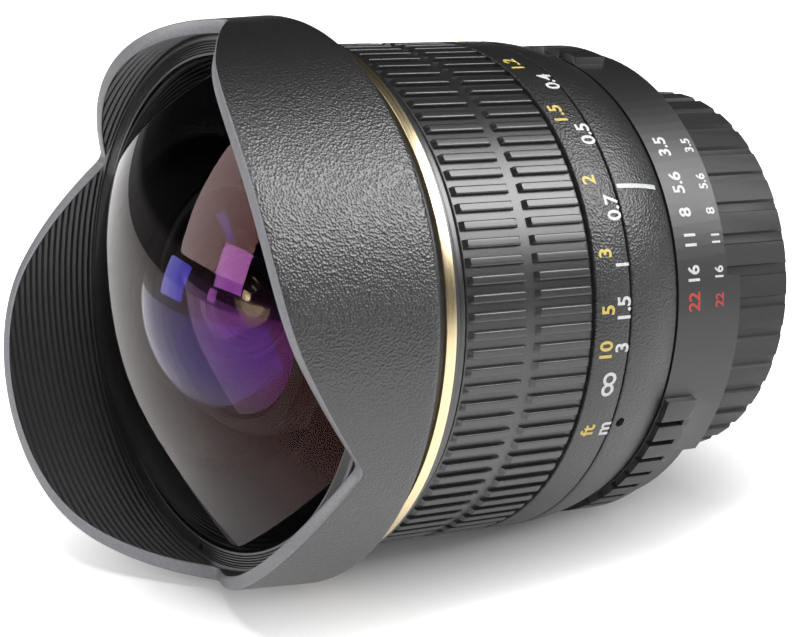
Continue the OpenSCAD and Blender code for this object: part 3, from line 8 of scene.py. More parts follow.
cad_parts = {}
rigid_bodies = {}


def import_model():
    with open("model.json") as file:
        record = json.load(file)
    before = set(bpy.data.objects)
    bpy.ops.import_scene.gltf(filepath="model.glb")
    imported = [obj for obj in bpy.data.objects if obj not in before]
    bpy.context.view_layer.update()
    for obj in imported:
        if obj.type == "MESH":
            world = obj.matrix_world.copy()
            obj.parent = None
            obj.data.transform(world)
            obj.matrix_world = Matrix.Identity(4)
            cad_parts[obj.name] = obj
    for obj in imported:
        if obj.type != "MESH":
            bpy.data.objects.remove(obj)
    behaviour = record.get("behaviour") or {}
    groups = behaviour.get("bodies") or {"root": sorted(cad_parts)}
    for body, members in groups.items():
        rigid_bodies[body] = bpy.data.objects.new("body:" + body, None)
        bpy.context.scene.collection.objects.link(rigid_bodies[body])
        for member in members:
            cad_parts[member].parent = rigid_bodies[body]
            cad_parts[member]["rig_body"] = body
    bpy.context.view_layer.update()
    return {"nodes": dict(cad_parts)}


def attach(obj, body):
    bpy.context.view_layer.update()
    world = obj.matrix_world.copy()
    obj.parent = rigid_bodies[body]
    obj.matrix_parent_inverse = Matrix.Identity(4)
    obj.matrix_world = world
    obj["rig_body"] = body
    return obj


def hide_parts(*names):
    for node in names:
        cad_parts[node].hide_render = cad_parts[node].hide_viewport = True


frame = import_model()
scene = bpy.context.scene
scene.view_settings.view_transform = "Standard"
print("frame loaded:", len(frame["nodes"]), "pieces in the lens")

mm = 0.001
frontWay = (0, -1, 0)  # the lens axis, towards the front glass
indexAt = 37.0  # polar angle of the index line round the axis
roundSteps, fineSteps = 180, 240  # faces round a turned ring
hair = 0.01  # mm, for telling one edge from the next
drillOver = 1.0  # mm that a drill starts and ends past the wall


# Where things are

def spot(radius, height, turn=0.0):  # height over the mount flange, turn round the axis
    angle = radians(turn)
    return Vector((radius * cos(angle), -height, radius * sin(angle))) * mm


def ringPlace(vert):  # radius, height and turn of a point of the mesh
    radius = sqrt(vert.co.x ** 2 + vert.co.z ** 2) / mm
    return radius, -vert.co.y / mm, degrees(atan2(vert.co.z, vert.co.x))


def sag(ball, radius):
    return ball - sqrt(ball * ball - radius * radius)


def turnAbout(verts, bm, angle):
    turned = Matrix.Rotation(radians(angle), 3, Vector(frontWay))
    bmesh.ops.rotate(bm, verts=verts, cent=(0, 0, 0), matrix=turned)


# Meshes

def spun(bm, steps):
    geom = bm.verts[:] + bm.edges[:]
    bmesh.ops.spin(bm, geom=geom, cent=(0, 0, 0), axis=frontWay, dvec=(0, 0, 0),
                   angle=2 * pi, steps=steps, use_merge=True, use_duplicate=False)
    bmesh.ops.remove_doubles(bm, verts=bm.verts[:], dist=1e-7)
    return bm


def turnedRing(corners, steps=roundSteps, segments=3):  # corners are (radius, height, rounding)
    bm = bmesh.new()
    verts = [bm.verts.new(spot(c[0], c[1])) for c in corners]
    bm.faces.new(verts)
    roundings = [c[2] if len(c) > 2 else 0 for c in corners]
    for rounding in sorted(set(roundings) - {0}):
        chosen = [v for v, r in zip(verts, roundings) if r == rounding]
        bmesh.ops.bevel(bm, geom=chosen, offset=rounding * mm, offset_type="OFFSET", affect="VERTICES",
                        segments=segments, profile=0.5, material=-1, clamp_overlap=False)
    bmesh.ops.delete(bm, geom=bm.faces[:], context="FACES_ONLY")
    return spun(bm, steps)


def turnedGlass(line, steps):  # an open line of (radius, height) from axis to axis
    bm = bmesh.new()
    verts = [bm.verts.new(spot(r, z)) for r, z in line]
    for a, b in zip(verts, verts[1:]):
        bm.edges.new((a, b))
    return spun(bm, steps)


def ballLine(ball, top, edge, steps):  # points on a spherical face, from the axis out to its edge
    angles = [asin(edge / ball) * k / steps for k in range(steps + 1)]
    return [(ball * sin(a), top - ball * (1 - cos(a))) for a in angles]


def raised(bm, faces, radius, edge, lean, segments=2):  # lifts patches of a ring and rounds their tops
    lifted = bmesh.ops.extrude_face_region(bm, geom=faces)["geom"]
    bmesh.ops.delete(bm, geom=faces, context="FACES_KEEP_BOUNDARY")
    tops = [f for f in lifted if isinstance(f, bmesh.types.BMFace)]
    for v in {v for f in tops for v in f.verts}:
        r, z, turn = ringPlace(v)
        v.co = spot(radius, lean(z), turn)
    topSet = set(tops)
    rims = [e for e in {e for f in tops for e in f.edges} if not topSet.issuperset(e.link_faces)]
    bmesh.ops.bevel(bm, geom=rims, offset=edge * mm, offset_type="OFFSET", affect="EDGES",
                    segments=segments, profile=0.5, material=-1, clamp_overlap=True)


def piece(bm, name, body, finishes, stands=(), sharp=32):
    bmesh.ops.remove_doubles(bm, verts=bm.verts[:], dist=1e-7)
    bmesh.ops.recalc_face_normals(bm, faces=bm.faces[:])
    mesh = bpy.data.meshes.new(name)
    bm.to_mesh(mesh)
    bm.free()
    for finish in finishes:
        mesh.materials.append(finish)
    mesh.shade_smooth()
    mesh.set_sharp_from_angle(angle=radians(sharp))
    made = bpy.data.objects.new(name, mesh)
    scene.collection.objects.link(made)
    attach(made, body)
    if stands:
        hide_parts(*stands)
    return made


def drill(made, holes, sharp=32):  # holes are (start, end, radius) in metres
    bm = bmesh.new()
    for start, end, radius in holes:
        way = end - start
        place = Matrix.Translation((start + end) / 2) @ way.to_track_quat("Z", "Y").to_matrix().to_4x4()
        bmesh.ops.create_cone(bm, cap_ends=True, cap_tris=False, segments=28, radius1=radius,
                              radius2=radius, depth=way.length, matrix=place)
    cutterMesh = bpy.data.meshes.new("drill")
    bm.to_mesh(cutterMesh)
    bm.free()
    cutter = bpy.data.objects.new("drill", cutterMesh)
    scene.collection.objects.link(cutter)
    cut = made.modifiers.new("holes", "BOOLEAN")
    cut.operation = "DIFFERENCE"
    cut.solver = "EXACT"
    cut.object = cutter
    ready = made.evaluated_get(bpy.context.evaluated_depsgraph_get())
    drilled = bpy.data.meshes.new_from_object(ready)
    made.modifiers.clear()
    old = made.data
    made.data = drilled
    drilled.name = made.name
    bpy.data.meshes.remove(old)
    bpy.data.objects.remove(cutter)
    bpy.data.meshes.remove(cutterMesh)
    drilled.shade_smooth()
    drilled.set_sharp_from_angle(angle=radians(sharp))


def fromNode(node, name, finish, edge, sharp=32):  # a merged copy of a node with its edges eased
    source = frame["nodes"][node]
    bm = bmesh.new()
    bm.from_mesh(source.data)
    bmesh.ops.remove_doubles(bm, verts=bm.verts[:], dist=2e-7)
    bmesh.ops.dissolve_limit(bm, angle_limit=radians(0.5), verts=bm.verts[:], edges=bm.edges[:],
                             use_dissolve_boundaries=False, delimit=set())
    made = piece(bm, name, bodyOf[node], [finish], [node], sharp)
    ease = made.modifiers.new("edges", "BEVEL")
    ease.width = edge * mm
    ease.segments = 2
    ease.limit_method = "ANGLE"
    ease.angle_limit = radians(sharp)
    ease.harden_normals = False


bodyOf = {n: o["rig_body"] for n, o in frame["nodes"].items()}


# Finishes

class Finish:
    def __init__(self, name):
        self.material = bpy.data.materials.new(name)
        self.material.use_nodes = True
        self.tree = self.material.node_tree
        self.tree.nodes.clear()
        self.output = self.node("OutputMaterial")
        self.shader = self.node("BsdfPrincipled")
        self.link(self.shader, "BSDF", self.output, "Surface")
        self.coords = self.node("TexCoord")

    def node(self, kind, **values):
        made = self.tree.nodes.new("ShaderNode" + kind)
        for key, value in values.items():
            setattr(made, key, value)
        return made

    def link(self, a, out, b, into):
        self.tree.links.new(a.outputs[out], b.inputs[into])

    def set(self, **sockets):
        for key, value in sockets.items():
            self.shader.inputs[key.replace("_", " ")].default_value = value

    def noise(self, scale, detail=2.0, rough=0.5, stretch=None):
        made = self.node("TexNoise")
        made.inputs["Scale"].default_value = scale
        made.inputs["Detail"].default_value = detail
        made.inputs["Roughness"].default_value = rough
        if stretch:
            mapping = self.node("Mapping")
            mapping.inputs["Scale"].default_value = stretch
            self.link(self.coords, "Object", mapping, "Vector")
            self.link(mapping, "Vector", made, "Vector")
        else:
            self.link(self.coords, "Object", made, "Vector")
        return made

    def tint(self, source, out, low, high):  # base colour between two stops of (place, colour)
        made = self.node("ValToRGB")
        for stop, (place, colour) in zip(made.color_ramp.elements, (low, high)):
            stop.position = place
            stop.color = (*colour, 1)
        self.link(source, out, made, "Fac")
        self.link(made, "Color", self.shader, "Base Color")

    def range(self, source, out, low, high, socket):
        made = self.node("MapRange")
        made.inputs["To Min"].default_value = low
        made.inputs["To Max"].default_value = high
        self.link(source, out, made, "Value")
        self.link(made, "Result", self.shader, socket)

    def bump(self, source, out, strength, depth):
        made = self.node("Bump")
        made.inputs["Strength"].default_value = strength
        made.inputs["Distance"].default_value = depth
        self.link(source, out, made, "Height")
        self.link(made, "Normal", self.shader, "Normal")


def grey(value, tint=0.0):
    return (value, value, value * (1 + tint))


stipple = {
    "pitsPerMetre": 3000,
    "pitBlend": 0.35,
    # the pits are painted darker than the ridges between them: painted shade in the stipple's recesses
    "pitPaintedShade": (0.15, grey(0.004, 0.06)),
    "ridgeTint": (0.5, grey(0.016, 0.05)),
    "bump": 0.8,
    "depth": 0.0001,
}


def stippledPaint(name, roughLow, roughHigh, shine):
    f = Finish(name)
    f.set(Specular_IOR_Level=shine)
    pits = f.node("TexVoronoi", feature="SMOOTH_F1")
    pits.inputs["Scale"].default_value = stipple["pitsPerMetre"]
    pits.inputs["Smoothness"].default_value = stipple["pitBlend"]
    f.link(f.coords, "Object", pits, "Vector")
    # the stipple's pits take the darker stop, painted shade in the recesses
    f.tint(pits, "Distance", stipple["pitPaintedShade"], stipple["ridgeTint"])
    f.range(pits, "Distance", roughHigh, roughLow, "Roughness")
    f.bump(pits, "Distance", stipple["bump"], stipple["depth"])
    return f.material


blackFinishes = {  # shades and roughness are low and high, grain is per metre, depth of the bump in metres
    # the petal rims' finish: smoother paint, as on the real hood, in a light grey that is a painted highlight
    # where light catches the cut edges
    "rimPaintedHighlight": {"shades": (0.22, 0.28), "rough": (0.36, 0.46), "grain": 2500, "depth": 0.00001,
                 "tint": 0.08},
    # the hood's inside: its matte black is real, but its grey, lighter than the outer paint, is painted light
    # standing in for light falling on the inner walls
    "hoodInsidePaintedLight": {"shades": (0.018, 0.028), "rough": (0.4, 0.5), "grain": 2500, "depth": 0.00001,
                   "shine": 0.8},
    "inkedEdge": {"shades": (0.001, 0.003), "rough": (0.7, 0.8), "grain": 2500, "shine": 0.05},
    "satinBlack": {"shades": (0.012, 0.02), "rough": (0.32, 0.42), "grain": 3200, "depth": 0.000006,
                   "shine": 0.9},
    "apertureBlack": {"shades": (0.008, 0.014), "rough": (0.42, 0.5), "grain": 3200, "depth": 0.000006,
                      "shine": 0.75},
    "glossBlack": {"shades": (0.010, 0.014), "rough": (0.3, 0.38), "grain": 3200, "shine": 1.0},
    "rubberBlack": {"shades": (0.01, 0.018), "rough": (0.32, 0.4), "grain": 2600, "depth": 0.00002,
                    "shine": 0.9},
    "capPlastic": {"shades": (0.012, 0.018), "rough": (0.52, 0.6), "grain": 2200, "depth": 0.00002},
    "anodisedBlack": {"shades": (0.004, 0.007), "rough": (0.5, 0.6), "grain": 1500, "depth": 0.00001,
                      "tint": 0.05, "stretch": (0.05, 4, 0.05), "shine": 0.15},
    "bladeBlack": {"shades": (0.012, 0.02), "rough": (0.4, 0.5), "grain": 2400, "depth": 0.00001},
}


def blackFinish(name):
    d = blackFinishes[name]
    dark, light = (grey(shade, d.get("tint", 0.06)) for shade in d["shades"])
    f = Finish(name)
    f.set(Specular_IOR_Level=d.get("shine", 0.5))
    grain = f.noise(d["grain"], detail=3, rough=0.55, stretch=d.get("stretch"))
    f.tint(grain, "Fac", (0.3, dark), (0.7, light))
    cloud = f.noise(90, detail=3, rough=0.6)
    f.range(cloud, "Fac", *d["rough"], "Roughness")
    if "depth" in d:
        f.bump(grain, "Fac", 0.5, d["depth"])
    return f.material


metals = {  # tints and roughness are low and high, lines are per metre, bump is its strength
    "champagneGold": {"tints": ((0.70, 0.56, 0.33), (0.80, 0.67, 0.44)), "rough": (0.24, 0.32), "lines": 900,
                      "stretch": (0.02, 6.0, 0.02), "bump": 0.15},
    "steel": {"tints": (grey(0.46, 0.02), grey(0.6, 0.02)), "rough": (0.25, 0.4), "lines": 1200, "bump": 0.1},
    "mountChrome": {"tints": (grey(0.56, 0.02), grey(0.7, 0.02)), "rough": (0.2, 0.32), "lines": 1200,
                    "stretch": (0.1, 5, 0.1), "bump": 0.1},
    "plainAluminium": {"tints": (grey(0.5, 0.02), grey(0.62, 0.02)), "rough": (0.3, 0.45), "lines": 1200,
                       "stretch": (0.1, 4, 0.1), "bump": 0.1},
    "followerBrass": {"tints": ((0.6, 0.43, 0.2), (0.72, 0.54, 0.28)), "rough": (0.25, 0.4), "lines": 1200,
                      "bump": 0.1},
}


def turnedMetal(name):
    d = metals[name]
    low, high = d["tints"]
    f = Finish(name)
    f.set(Metallic=1.0)
    lines = f.noise(d["lines"], detail=4, rough=0.6, stretch=d.get("stretch"))
    f.tint(lines, "Fac", (0.3, low), (0.7, high))
    f.range(lines, "Fac", *d["rough"], "Roughness")
    f.bump(lines, "Fac", d["bump"], 0.00001)
    return f.material


markColours = {
    "whiteMark": (0.82, 0.83, 0.83),
    "yellowMark": (0.80, 0.62, 0.16),
    "redMark": (0.58, 0.07, 0.06),
}


def markPaint(name, wornShare=0.82):
    colour = markColours[name]
    f = Finish(name)
    specks = f.noise(3000)
    f.tint(specks, "Fac", (0.3, tuple(c * wornShare for c in colour)), (0.6, colour))
    f.range(specks, "Fac", 0.4, 0.6, "Roughness")
    return f.material


glasses = {  # the coating tints what the surface mirrors
    "domeGlass": {"index": 1.7, "body": (0.96, 0.96, 0.95), "coating": (0.17, 0.052, 0.042)},
    "blueGlass": {"index": 1.68, "body": (0.95, 0.95, 0.97), "coating": (0.05, 0.03, 0.7)},
    "violetGlass": {"index": 1.75, "body": (0.95, 0.95, 0.97), "coating": (0.42, 0.06, 0.55)},
    "amberGlass": {"index": 1.7, "body": (0.97, 0.95, 0.92), "coating": (0.95, 0.55, 0.35)},
    "clearGlass": {"index": 1.55, "body": (0.97, 0.97, 0.96), "coating": (0.8, 0.9, 1.0)},
}


def coatedGlass(name, hazeShare=0.97):
    d = glasses[name]
    f = Finish(name)
    f.set(Transmission_Weight=1.0, IOR=d["index"], Specular_Tint=(*d["coating"], 1))
    haze = f.noise(60, detail=3)
    f.tint(haze, "Fac", (0.3, tuple(c * hazeShare for c in d["body"])), (0.7, d["body"]))
    f.range(haze, "Fac", 0.0, 0.012, "Roughness")
    return f.material


paint = stippledPaint("stippledPaint", 0.36, 0.44, 0.72)
hoodPaint = stippledPaint("hoodPaint", 0.34, 0.42, 0.9)
rimPaintedHighlight = blackFinish("rimPaintedHighlight")
hoodInsidePaintedLight = blackFinish("hoodInsidePaintedLight")
inkedEdge = blackFinish("inkedEdge")
satinBlack = blackFinish("satinBlack")
apertureBlack = blackFinish("apertureBlack")
glossBlack = blackFinish("glossBlack")
rubberBlack = blackFinish("rubberBlack")
capPlastic = blackFinish("capPlastic")
anodised = blackFinish("anodisedBlack")
bladeBlack = blackFinish("bladeBlack")
gold = turnedMetal("champagneGold")
steel = turnedMetal("steel")
chrome = turnedMetal("mountChrome")
aluminium = turnedMetal("plainAluminium")
brass = turnedMetal("followerBrass")
domeGlass = coatedGlass("domeGlass")
blueGlass = coatedGlass("blueGlass")
violetGlass = coatedGlass("violetGlass")
amberGlass = coatedGlass("amberGlass")
clearGlass = coatedGlass("clearGlass")
whiteMark = markPaint("whiteMark")
yellowMark = markPaint("yellowMark")
redMark = markPaint("redMark")
print("finishes mixed:", len(bpy.data.materials))


# Petal hood: turned wall with light-trap grooves, its front edge cut to the petals' outline

hood = {
    "turn": 1.8,
    "lip": 53.15,
    "lipRadius": 37.5,
    "lipRound": 0.9,
    "tip": 76.55,
    "tipRadius": 36.5,
    "wall": 1.8,
    "neckRear": 50.65,
    "neckRadius": 34.2,
    "ledgeBore": 26.6,
    "ledgeTop": 54.55,
    "cupBore": 33.95,
    "bezelSeat": 60.05,
    "bezelBore": 35.15,
    "face": 61.85,
    "faceBore": 35.25,
    "shortPetal": 13.7,
    "shortArc": 40.0,
    "notchAcross": 19.9,
    "notchRound": 1.4,
    "flankSlope": 46.0,
    "petalArc": 20.0,
    "edgeRound": 0.3,
    "grooves": 15,
    "grooveDepth": 0.3,
    "toothShare": 0.35,
    "wallRows": 22,
    "columns": 360,
}


def polar(length, angle):
    return Vector((length * cos(radians(angle)), length * sin(radians(angle))))


def shortRim(across):  # the shorter petals' edge
    return hood["lip"] + hood["shortPetal"] - sag(hood["shortArc"], across)


def hoodOutline():  # the rim seen square on: height as a function of the way across
    low = Vector((hood["notchAcross"], shortRim(hood["notchAcross"])))
    high = Vector((hood["tipRadius"], hood["tip"]))
    along, out = polar(1, hood["flankSlope"]), polar(1, hood["flankSlope"] + 90)
    off = (high - low).dot(out)
    flank = (high - low).dot(along) - sqrt(-off * off - 2 * hood["petalArc"] * off)
    flankEnd = low + flank * along
    petalCentre = flankEnd - hood["petalArc"] * out
    dip = degrees(asin(hood["notchAcross"] / hood["shortArc"]))
    opening = 180 - dip - hood["flankSlope"]
    notchWay = polar(hood["notchRound"] / sin(radians(opening / 2)), hood["flankSlope"] + opening / 2)
    notchCentre = low + notchWay
    notchFrom = notchCentre.x - hood["notchRound"] * sin(radians(dip))
    notchTo = notchCentre.x + hood["notchRound"] * sin(radians(hood["flankSlope"]))

    def rim(across):
        s = abs(across)
        if s < notchFrom:
            return shortRim(s)
        if s < notchTo:
            return notchCentre.y - sqrt(hood["notchRound"] ** 2 - (s - notchCentre.x) ** 2)
        if s < flankEnd.x:
            return low.y + (s - low.x) * tan(radians(hood["flankSlope"]))
        return petalCentre.y + sqrt(hood["petalArc"] ** 2 - (s - petalCentre.x) ** 2)

    return rim


def hoodOuter(height):
    share = (height - hood["lip"] - hood["lipRound"]) / (hood["tip"] - hood["lip"] - hood["lipRound"])
    return hood["lipRadius"] + (hood["tipRadius"] - hood["lipRadius"]) * share


def hoodInner(height):
    share = (height - hood["face"]) / (hood["tip"] - hood["face"])
    return hood["faceBore"] + (hood["tipRadius"] - hood["wall"] - hood["faceBore"]) * share


groovePitch = (hood["tip"] - hood["face"]) / (hood["grooves"] + 1)


def grooveAt(height):  # depth of the light-trap teeth
    part = ((height - hood["face"]) / groovePitch) % 1.0
    tooth = hood["toothShare"]
    return hood["grooveDepth"] * (part / tooth if part < tooth else (1 - part) / (1 - tooth))


def makeHood():
    rim = hoodOutline()
    edge, tip = hood["edgeRound"], hood["tip"]
    wallTop, wallRear = tip - edge, hood["lip"] + hood["lipRound"]
    insideOf = hood["lipRadius"] - hood["wall"]  # what faces the glass lies within this radius
    rows = [wallRear + (wallTop - wallRear) * k / hood["wallRows"] for k in range(hood["wallRows"] + 1)]
    line = [(hood["ledgeBore"], hood["neckRear"]), (hood["neckRadius"], hood["neckRear"])]
    line += [(hood["neckRadius"], hood["lip"])]
    lipCentre = Vector((hood["lipRadius"] - hood["lipRound"], hood["lip"] + hood["lipRound"]))
    line += [tuple(lipCentre + polar(hood["lipRound"], a)) for a in (-90, -67.5, -45, -22.5)]
    line += [(hoodOuter(z), z) for z in rows]
    rounding = [(edge * (1 - cos(radians(a))), edge * (1 - sin(radians(a)))) for a in (30, 60, 90)]
    line += [(hoodOuter(tip - dz) - dr, tip - dz) for dr, dz in rounding]
    line += [(hoodInner(tip - dz) + dr, tip - dz) for dr, dz in reversed(rounding)]
    teeth = [hood["face"] + (i + part) * groovePitch
             for i in range(hood["grooves"] + 1) for part in (0, hood["toothShare"])]
    line += [(hoodInner(wallTop) + grooveAt(wallTop), wallTop)]
    line += [(hoodInner(z) + grooveAt(z), z) for z in reversed(teeth[1:]) if z < wallTop]
    line += [(hood["faceBore"], hood["face"]), (hood["bezelBore"], hood["face"])]
    line += [(hood["bezelBore"], hood["bezelSeat"]), (hood["cupBore"], hood["bezelSeat"])]
    line += [(hood["cupBore"], hood["ledgeTop"]), (hood["ledgeBore"], hood["ledgeTop"])]
    bm = turnedRing(line, hood["columns"])
    middleTurn = indexAt + hood["turn"]
    for v in bm.verts:
        r, z, turn = ringPlace(v)
        if z < hood["face"] - hair and r < insideOf:
            continue
        outside = r > (hoodOuter(z) + hoodInner(z)) / 2
        onEdge = z > wallTop + hair
        skin = hoodOuter(z) - r if outside else r - hoodInner(z)
        across = cos(radians(turn - middleTurn))
        top = rim(hoodOuter(z) * across)
        for _ in range(2):  # the wall tapers, so the cut is found again at its own height
            top = rim(hoodOuter(max(hood["face"], min(top, tip))) * across)
        v.tag = onEdge
        if onEdge:
            height = top - (tip - z)
            radius = hoodOuter(height) - skin if outside else hoodInner(height) + skin
        elif outside:
            height = min(z, top - edge)
            radius = hoodOuter(height) if z > wallRear - hair else r
        elif z > top - edge:
            height = top - edge
            radius = hoodInner(height) + grooveAt(height)
        else:
            continue
        v.co = spot(radius, height, turn)
    # faces on the petals' cut edge take the rim finish, whose light grey is a painted highlight; faces inside
    # the wall take the inside finish, lightened with painted light
    for f in bm.faces:
        f.material_index = 0
        if all(v.tag for v in f.verts):
            f.material_index = 1
        elif all(ringPlace(v)[0] < insideOf for v in f.verts):
            f.material_index = 2
    piece(bm, "petalHood", "lens_body", [hoodPaint, rimPaintedHighlight, hoodInsidePaintedLight],
          ["hood"], sharp=28)


makeHood()
print("petal hood turned and cut")


# Grooved ring round the glass

bezel = {
    "rear": 60.05,
    "face": 61.85,
    "bore": 32.5,
    "boreRear": 61.5,
    "seatBore": 33.05,
    "seatTop": 61.05,
    "radius": 35.1,
    "lipWide": 0.6,
    "lipHigh": 0.3,
    "lipRound": 0.1,
    "boreRound": 0.08,
    "grooves": 5,
    "grooveShare": 0.6,
    "spannerRadius": 0.45,
    "spannerAt": 33.8,
    "spannerTurn": 232.0,
    "spannerDeep": 0.8,
}


def makeBezel():
    d = bezel
    lipIn = d["radius"] - d["lipWide"]
    lipTop = d["face"] + d["lipHigh"]
    step = (lipIn - d["bore"]) / (d["grooves"] + 1)
    half = d["grooveShare"] / 2
    corners = [(d["seatBore"], d["rear"]), (d["radius"], d["rear"]), (d["radius"], lipTop, d["lipRound"])]
    corners += [(lipIn, lipTop, d["lipRound"]), (lipIn, d["face"])]
    for i in range(1, d["grooves"] + 1):
        for k in range(3):
            deep = step * d["grooveShare"] if k == 1 else 0
            corners.append((lipIn - (i - 2 * half + k * half) * step, d["face"] - deep))
    corners += [(d["bore"], d["face"], d["boreRound"]), (d["bore"], d["boreRear"])]
    corners += [(d["seatBore"], d["seatTop"])]
    made = piece(turnedRing(corners, fineSteps), "grooveBezel", "lens_body", [satinBlack],
                 ["front_bezel"], sharp=20)
    holes = []
    for turn in (indexAt + d["spannerTurn"], indexAt + d["spannerTurn"] + 180):
        holes.append((spot(d["spannerAt"], d["face"] + drillOver, turn),
                      spot(d["spannerAt"], d["face"] - d["spannerDeep"], turn), d["spannerRadius"] * mm))
    drill(made, holes, sharp=20)


makeBezel()


# Glass

frontGlass = {
    "radius": 33.0,
    "seat": 56.55,
    "ball": 49.0,
    "top": 73.75,
    "hollowBall": 22.01,
    "hollowTop": 70.55,
    "hollowEdge": 20.6,
    "frontSkin": 0.3,
}
secondGlass = {
    "radius": 19.0,
    "seat": 51.55,
    "ball": 40.0,
    "top": 61.05,
    "hollowBall": 13.0,
    "hollowTop": 58.75,
}
doublet = {
    "radius": 11.0,
    "ball": 25.0,
    "top": 46.0,
    "cementBall": 16.0,
    "cementTop": 42.0,
    "cementGap": 0.02,
    "rear": 36.0,
}
domeSteps, domeRound = 56, 200  # steps from the axis to the edge, and round it
smallSteps, smallRound = 32, 120


def meniscus(d):
    front = ballLine(d["ball"], d["top"], d["radius"], domeSteps)
    hollowEdge = sqrt(d["hollowBall"] ** 2 - (d["hollowBall"] - d["hollowTop"] + d["seat"]) ** 2)
    back = ballLine(d["hollowBall"], d["hollowTop"], hollowEdge, domeSteps)
    return turnedGlass(front + [(d["radius"], d["seat"])] + back[::-1], domeRound)


def facePlace(face):
    centre = face.calc_center_median()
    return sqrt(centre.x ** 2 + centre.z ** 2) / mm, -centre.y / mm


def makeFrontGlass():
    d = frontGlass
    bm = meniscus(d)
    for f in bm.faces:
        r, z = facePlace(f)
        onFront = z > d["top"] - sag(d["ball"], min(r, d["radius"])) - d["frontSkin"]
        onHollow = r < d["hollowEdge"] and not onFront and z > d["seat"] + hair
        f.material_index = 0 if onFront else 1 if onHollow else 2
    piece(bm, "frontGlass", "lens_body", [domeGlass, blueGlass, inkedEdge],
          ["front_element"], sharp=40)


def makeSecondGlass():
    d = secondGlass
    bm = meniscus(d)
    for f in bm.faces:
        r, z = facePlace(f)
        f.material_index = 1 if z < d["seat"] + hair or r > d["radius"] - hair else 0
    piece(bm, "secondGlass", "lens_body", [violetGlass, inkedEdge],
          ["second_element"], sharp=40)


def makeDoublet():
    d = doublet
    front = ballLine(d["ball"], d["top"], d["radius"], smallSteps)
    joint = ballLine(d["cementBall"], d["cementTop"] + d["cementGap"], d["radius"], smallSteps)
    piece(turnedGlass(front + joint[::-1], smallRound), "thirdGlass", "lens_body", [amberGlass],
          ["third_element"], sharp=40)
    front = ballLine(d["cementBall"], d["cementTop"], d["radius"], smallSteps)
    rear = [(d["radius"], d["rear"]), (0, d["rear"])]
    piece(turnedGlass(front + rear, smallRound), "fourthGlass", "lens_body", [clearGlass],
          ["fourth_element"], sharp=40)


makeFrontGlass()
makeSecondGlass()
makeDoublet()
print("glass ground")


# Rings of the barrel

goldBand = {
    "rear": 47.65,
    "front": 50.65,
    "bore": 30.55,
    "footRadius": 33.3,
    "footTop": 48.5,
    "bandRadius": 34.8,
    "bandRear": 48.7,
    "goldRear": 49.15,
    "edge": 0.12,
}
glossBand = {
    "rear": 46.6,
    "front": 47.65,
    "bore": 30.55,
    "radius": 33.2,
    "rearEdge": 0.2,
    "frontEdge": 0.12,
}


def makeGoldBand():
    d = goldBand
    corners = [(d["bore"], d["rear"]), (d["footRadius"], d["rear"]), (d["footRadius"], d["footTop"])]
    corners += [(d["bandRadius"], d["bandRear"], d["edge"]), (d["bandRadius"], d["goldRear"])]
    corners += [(d["bandRadius"], d["front"], d["edge"]), (d["bore"], d["front"])]
    bm = turnedRing(corners)
    for f in bm.faces:
        f.material_index = 1 if facePlace(f)[1] < d["goldRear"] - hair else 0
    piece(bm, "goldBand", "lens_body", [gold, glossBlack], ["gold_ring"])


def makeGlossBand():
    d = glossBand
    corners = [(d["bore"], d["rear"]), (d["radius"], d["rear"], d["rearEdge"])]
    corners += [(d["radius"], d["front"], d["frontEdge"]), (d["bore"], d["front"])]
    piece(turnedRing(corners), "glossBand", "lens_body", [glossBlack], ["trim_ring"])


makeGoldBand()
makeGlossBand()

indexRing = {
    "rear": 11.2,
    "front": 20.35,
    "bore": 30.55,
    "rearRadius": 31.7,
    "frontRadius": 33.6,
    "edge": 0.22,
    "screwHeight": 19.05,
    "screwTurn": -55.2,
    "screwRadius": 0.7,
    "screwDepth": 1.4,
}
indexTaper = indexRing["frontRadius"] - indexRing["rearRadius"]
indexLength = indexRing["front"] - indexRing["rear"]
indexArc = (indexLength ** 2 + indexTaper ** 2) / (2 * indexTaper)


def indexSurface(height):
    return indexRing["frontRadius"] - sag(indexArc, indexRing["front"] - height)


def makeIndexRing():
    d = indexRing
    steps = 12
    heights = [d["rear"] + indexLength * k / steps for k in range(steps + 1)]
    corners = [(d["bore"], d["rear"]), (indexSurface(d["rear"]), d["rear"], d["edge"])]
    corners += [(indexSurface(z), z) for z in heights[1:-1]]
    corners += [(d["frontRadius"], d["front"], d["edge"]), (d["bore"], d["front"])]
    made = piece(turnedRing(corners, fineSteps), "indexBarrel", "lens_body", [paint],
                 ["index_barrel"])
    holes = []
    for k in range(3):
        turn = indexAt + d["screwTurn"] - 120 * k
        start = spot(d["frontRadius"] + drillOver, d["screwHeight"], turn)
        end = spot(d["frontRadius"] - d["screwDepth"] - drillOver, d["screwHeight"], turn)
        holes.append((start, end, d["screwRadius"] * mm))
    drill(made, holes)


makeIndexRing()

scaleRing = {
    "rear": 20.6,
    "front": 26.25,
    "radius": 33.6,
    "bore": 30.56,
    "sleeveRadius": 31.7,
    "sleeveFront": 46.35,
    "edge": 0.22,
}


def makeScaleRing():
    d = scaleRing
    corners = [(d["bore"], d["rear"]), (d["radius"], d["rear"], d["edge"])]
    corners += [(d["radius"], d["front"], d["edge"]), (d["sleeveRadius"], d["front"])]
    corners += [(d["sleeveRadius"], d["sleeveFront"]), (d["bore"], d["sleeveFront"])]
    piece(turnedRing(corners, fineSteps), "scaleRing", "focus", [paint], ["focus_ring"])


makeScaleRing()

rubber = {
    "rear": 26.25,
    "front": 46.35,
    "bore": 31.75,
    "base": 32.98,
    "top": 33.6,
    "ribs": 90,
    "ribColumns": 5,
    "pitchColumns": 10,
    "edge": 0.3,
    "baseRound": 0.2,
    "rowGap": 1.4,
    "ribRound": 0.18,
    "endSlope": 0.5,
    "ribTurn": -1.8,
}


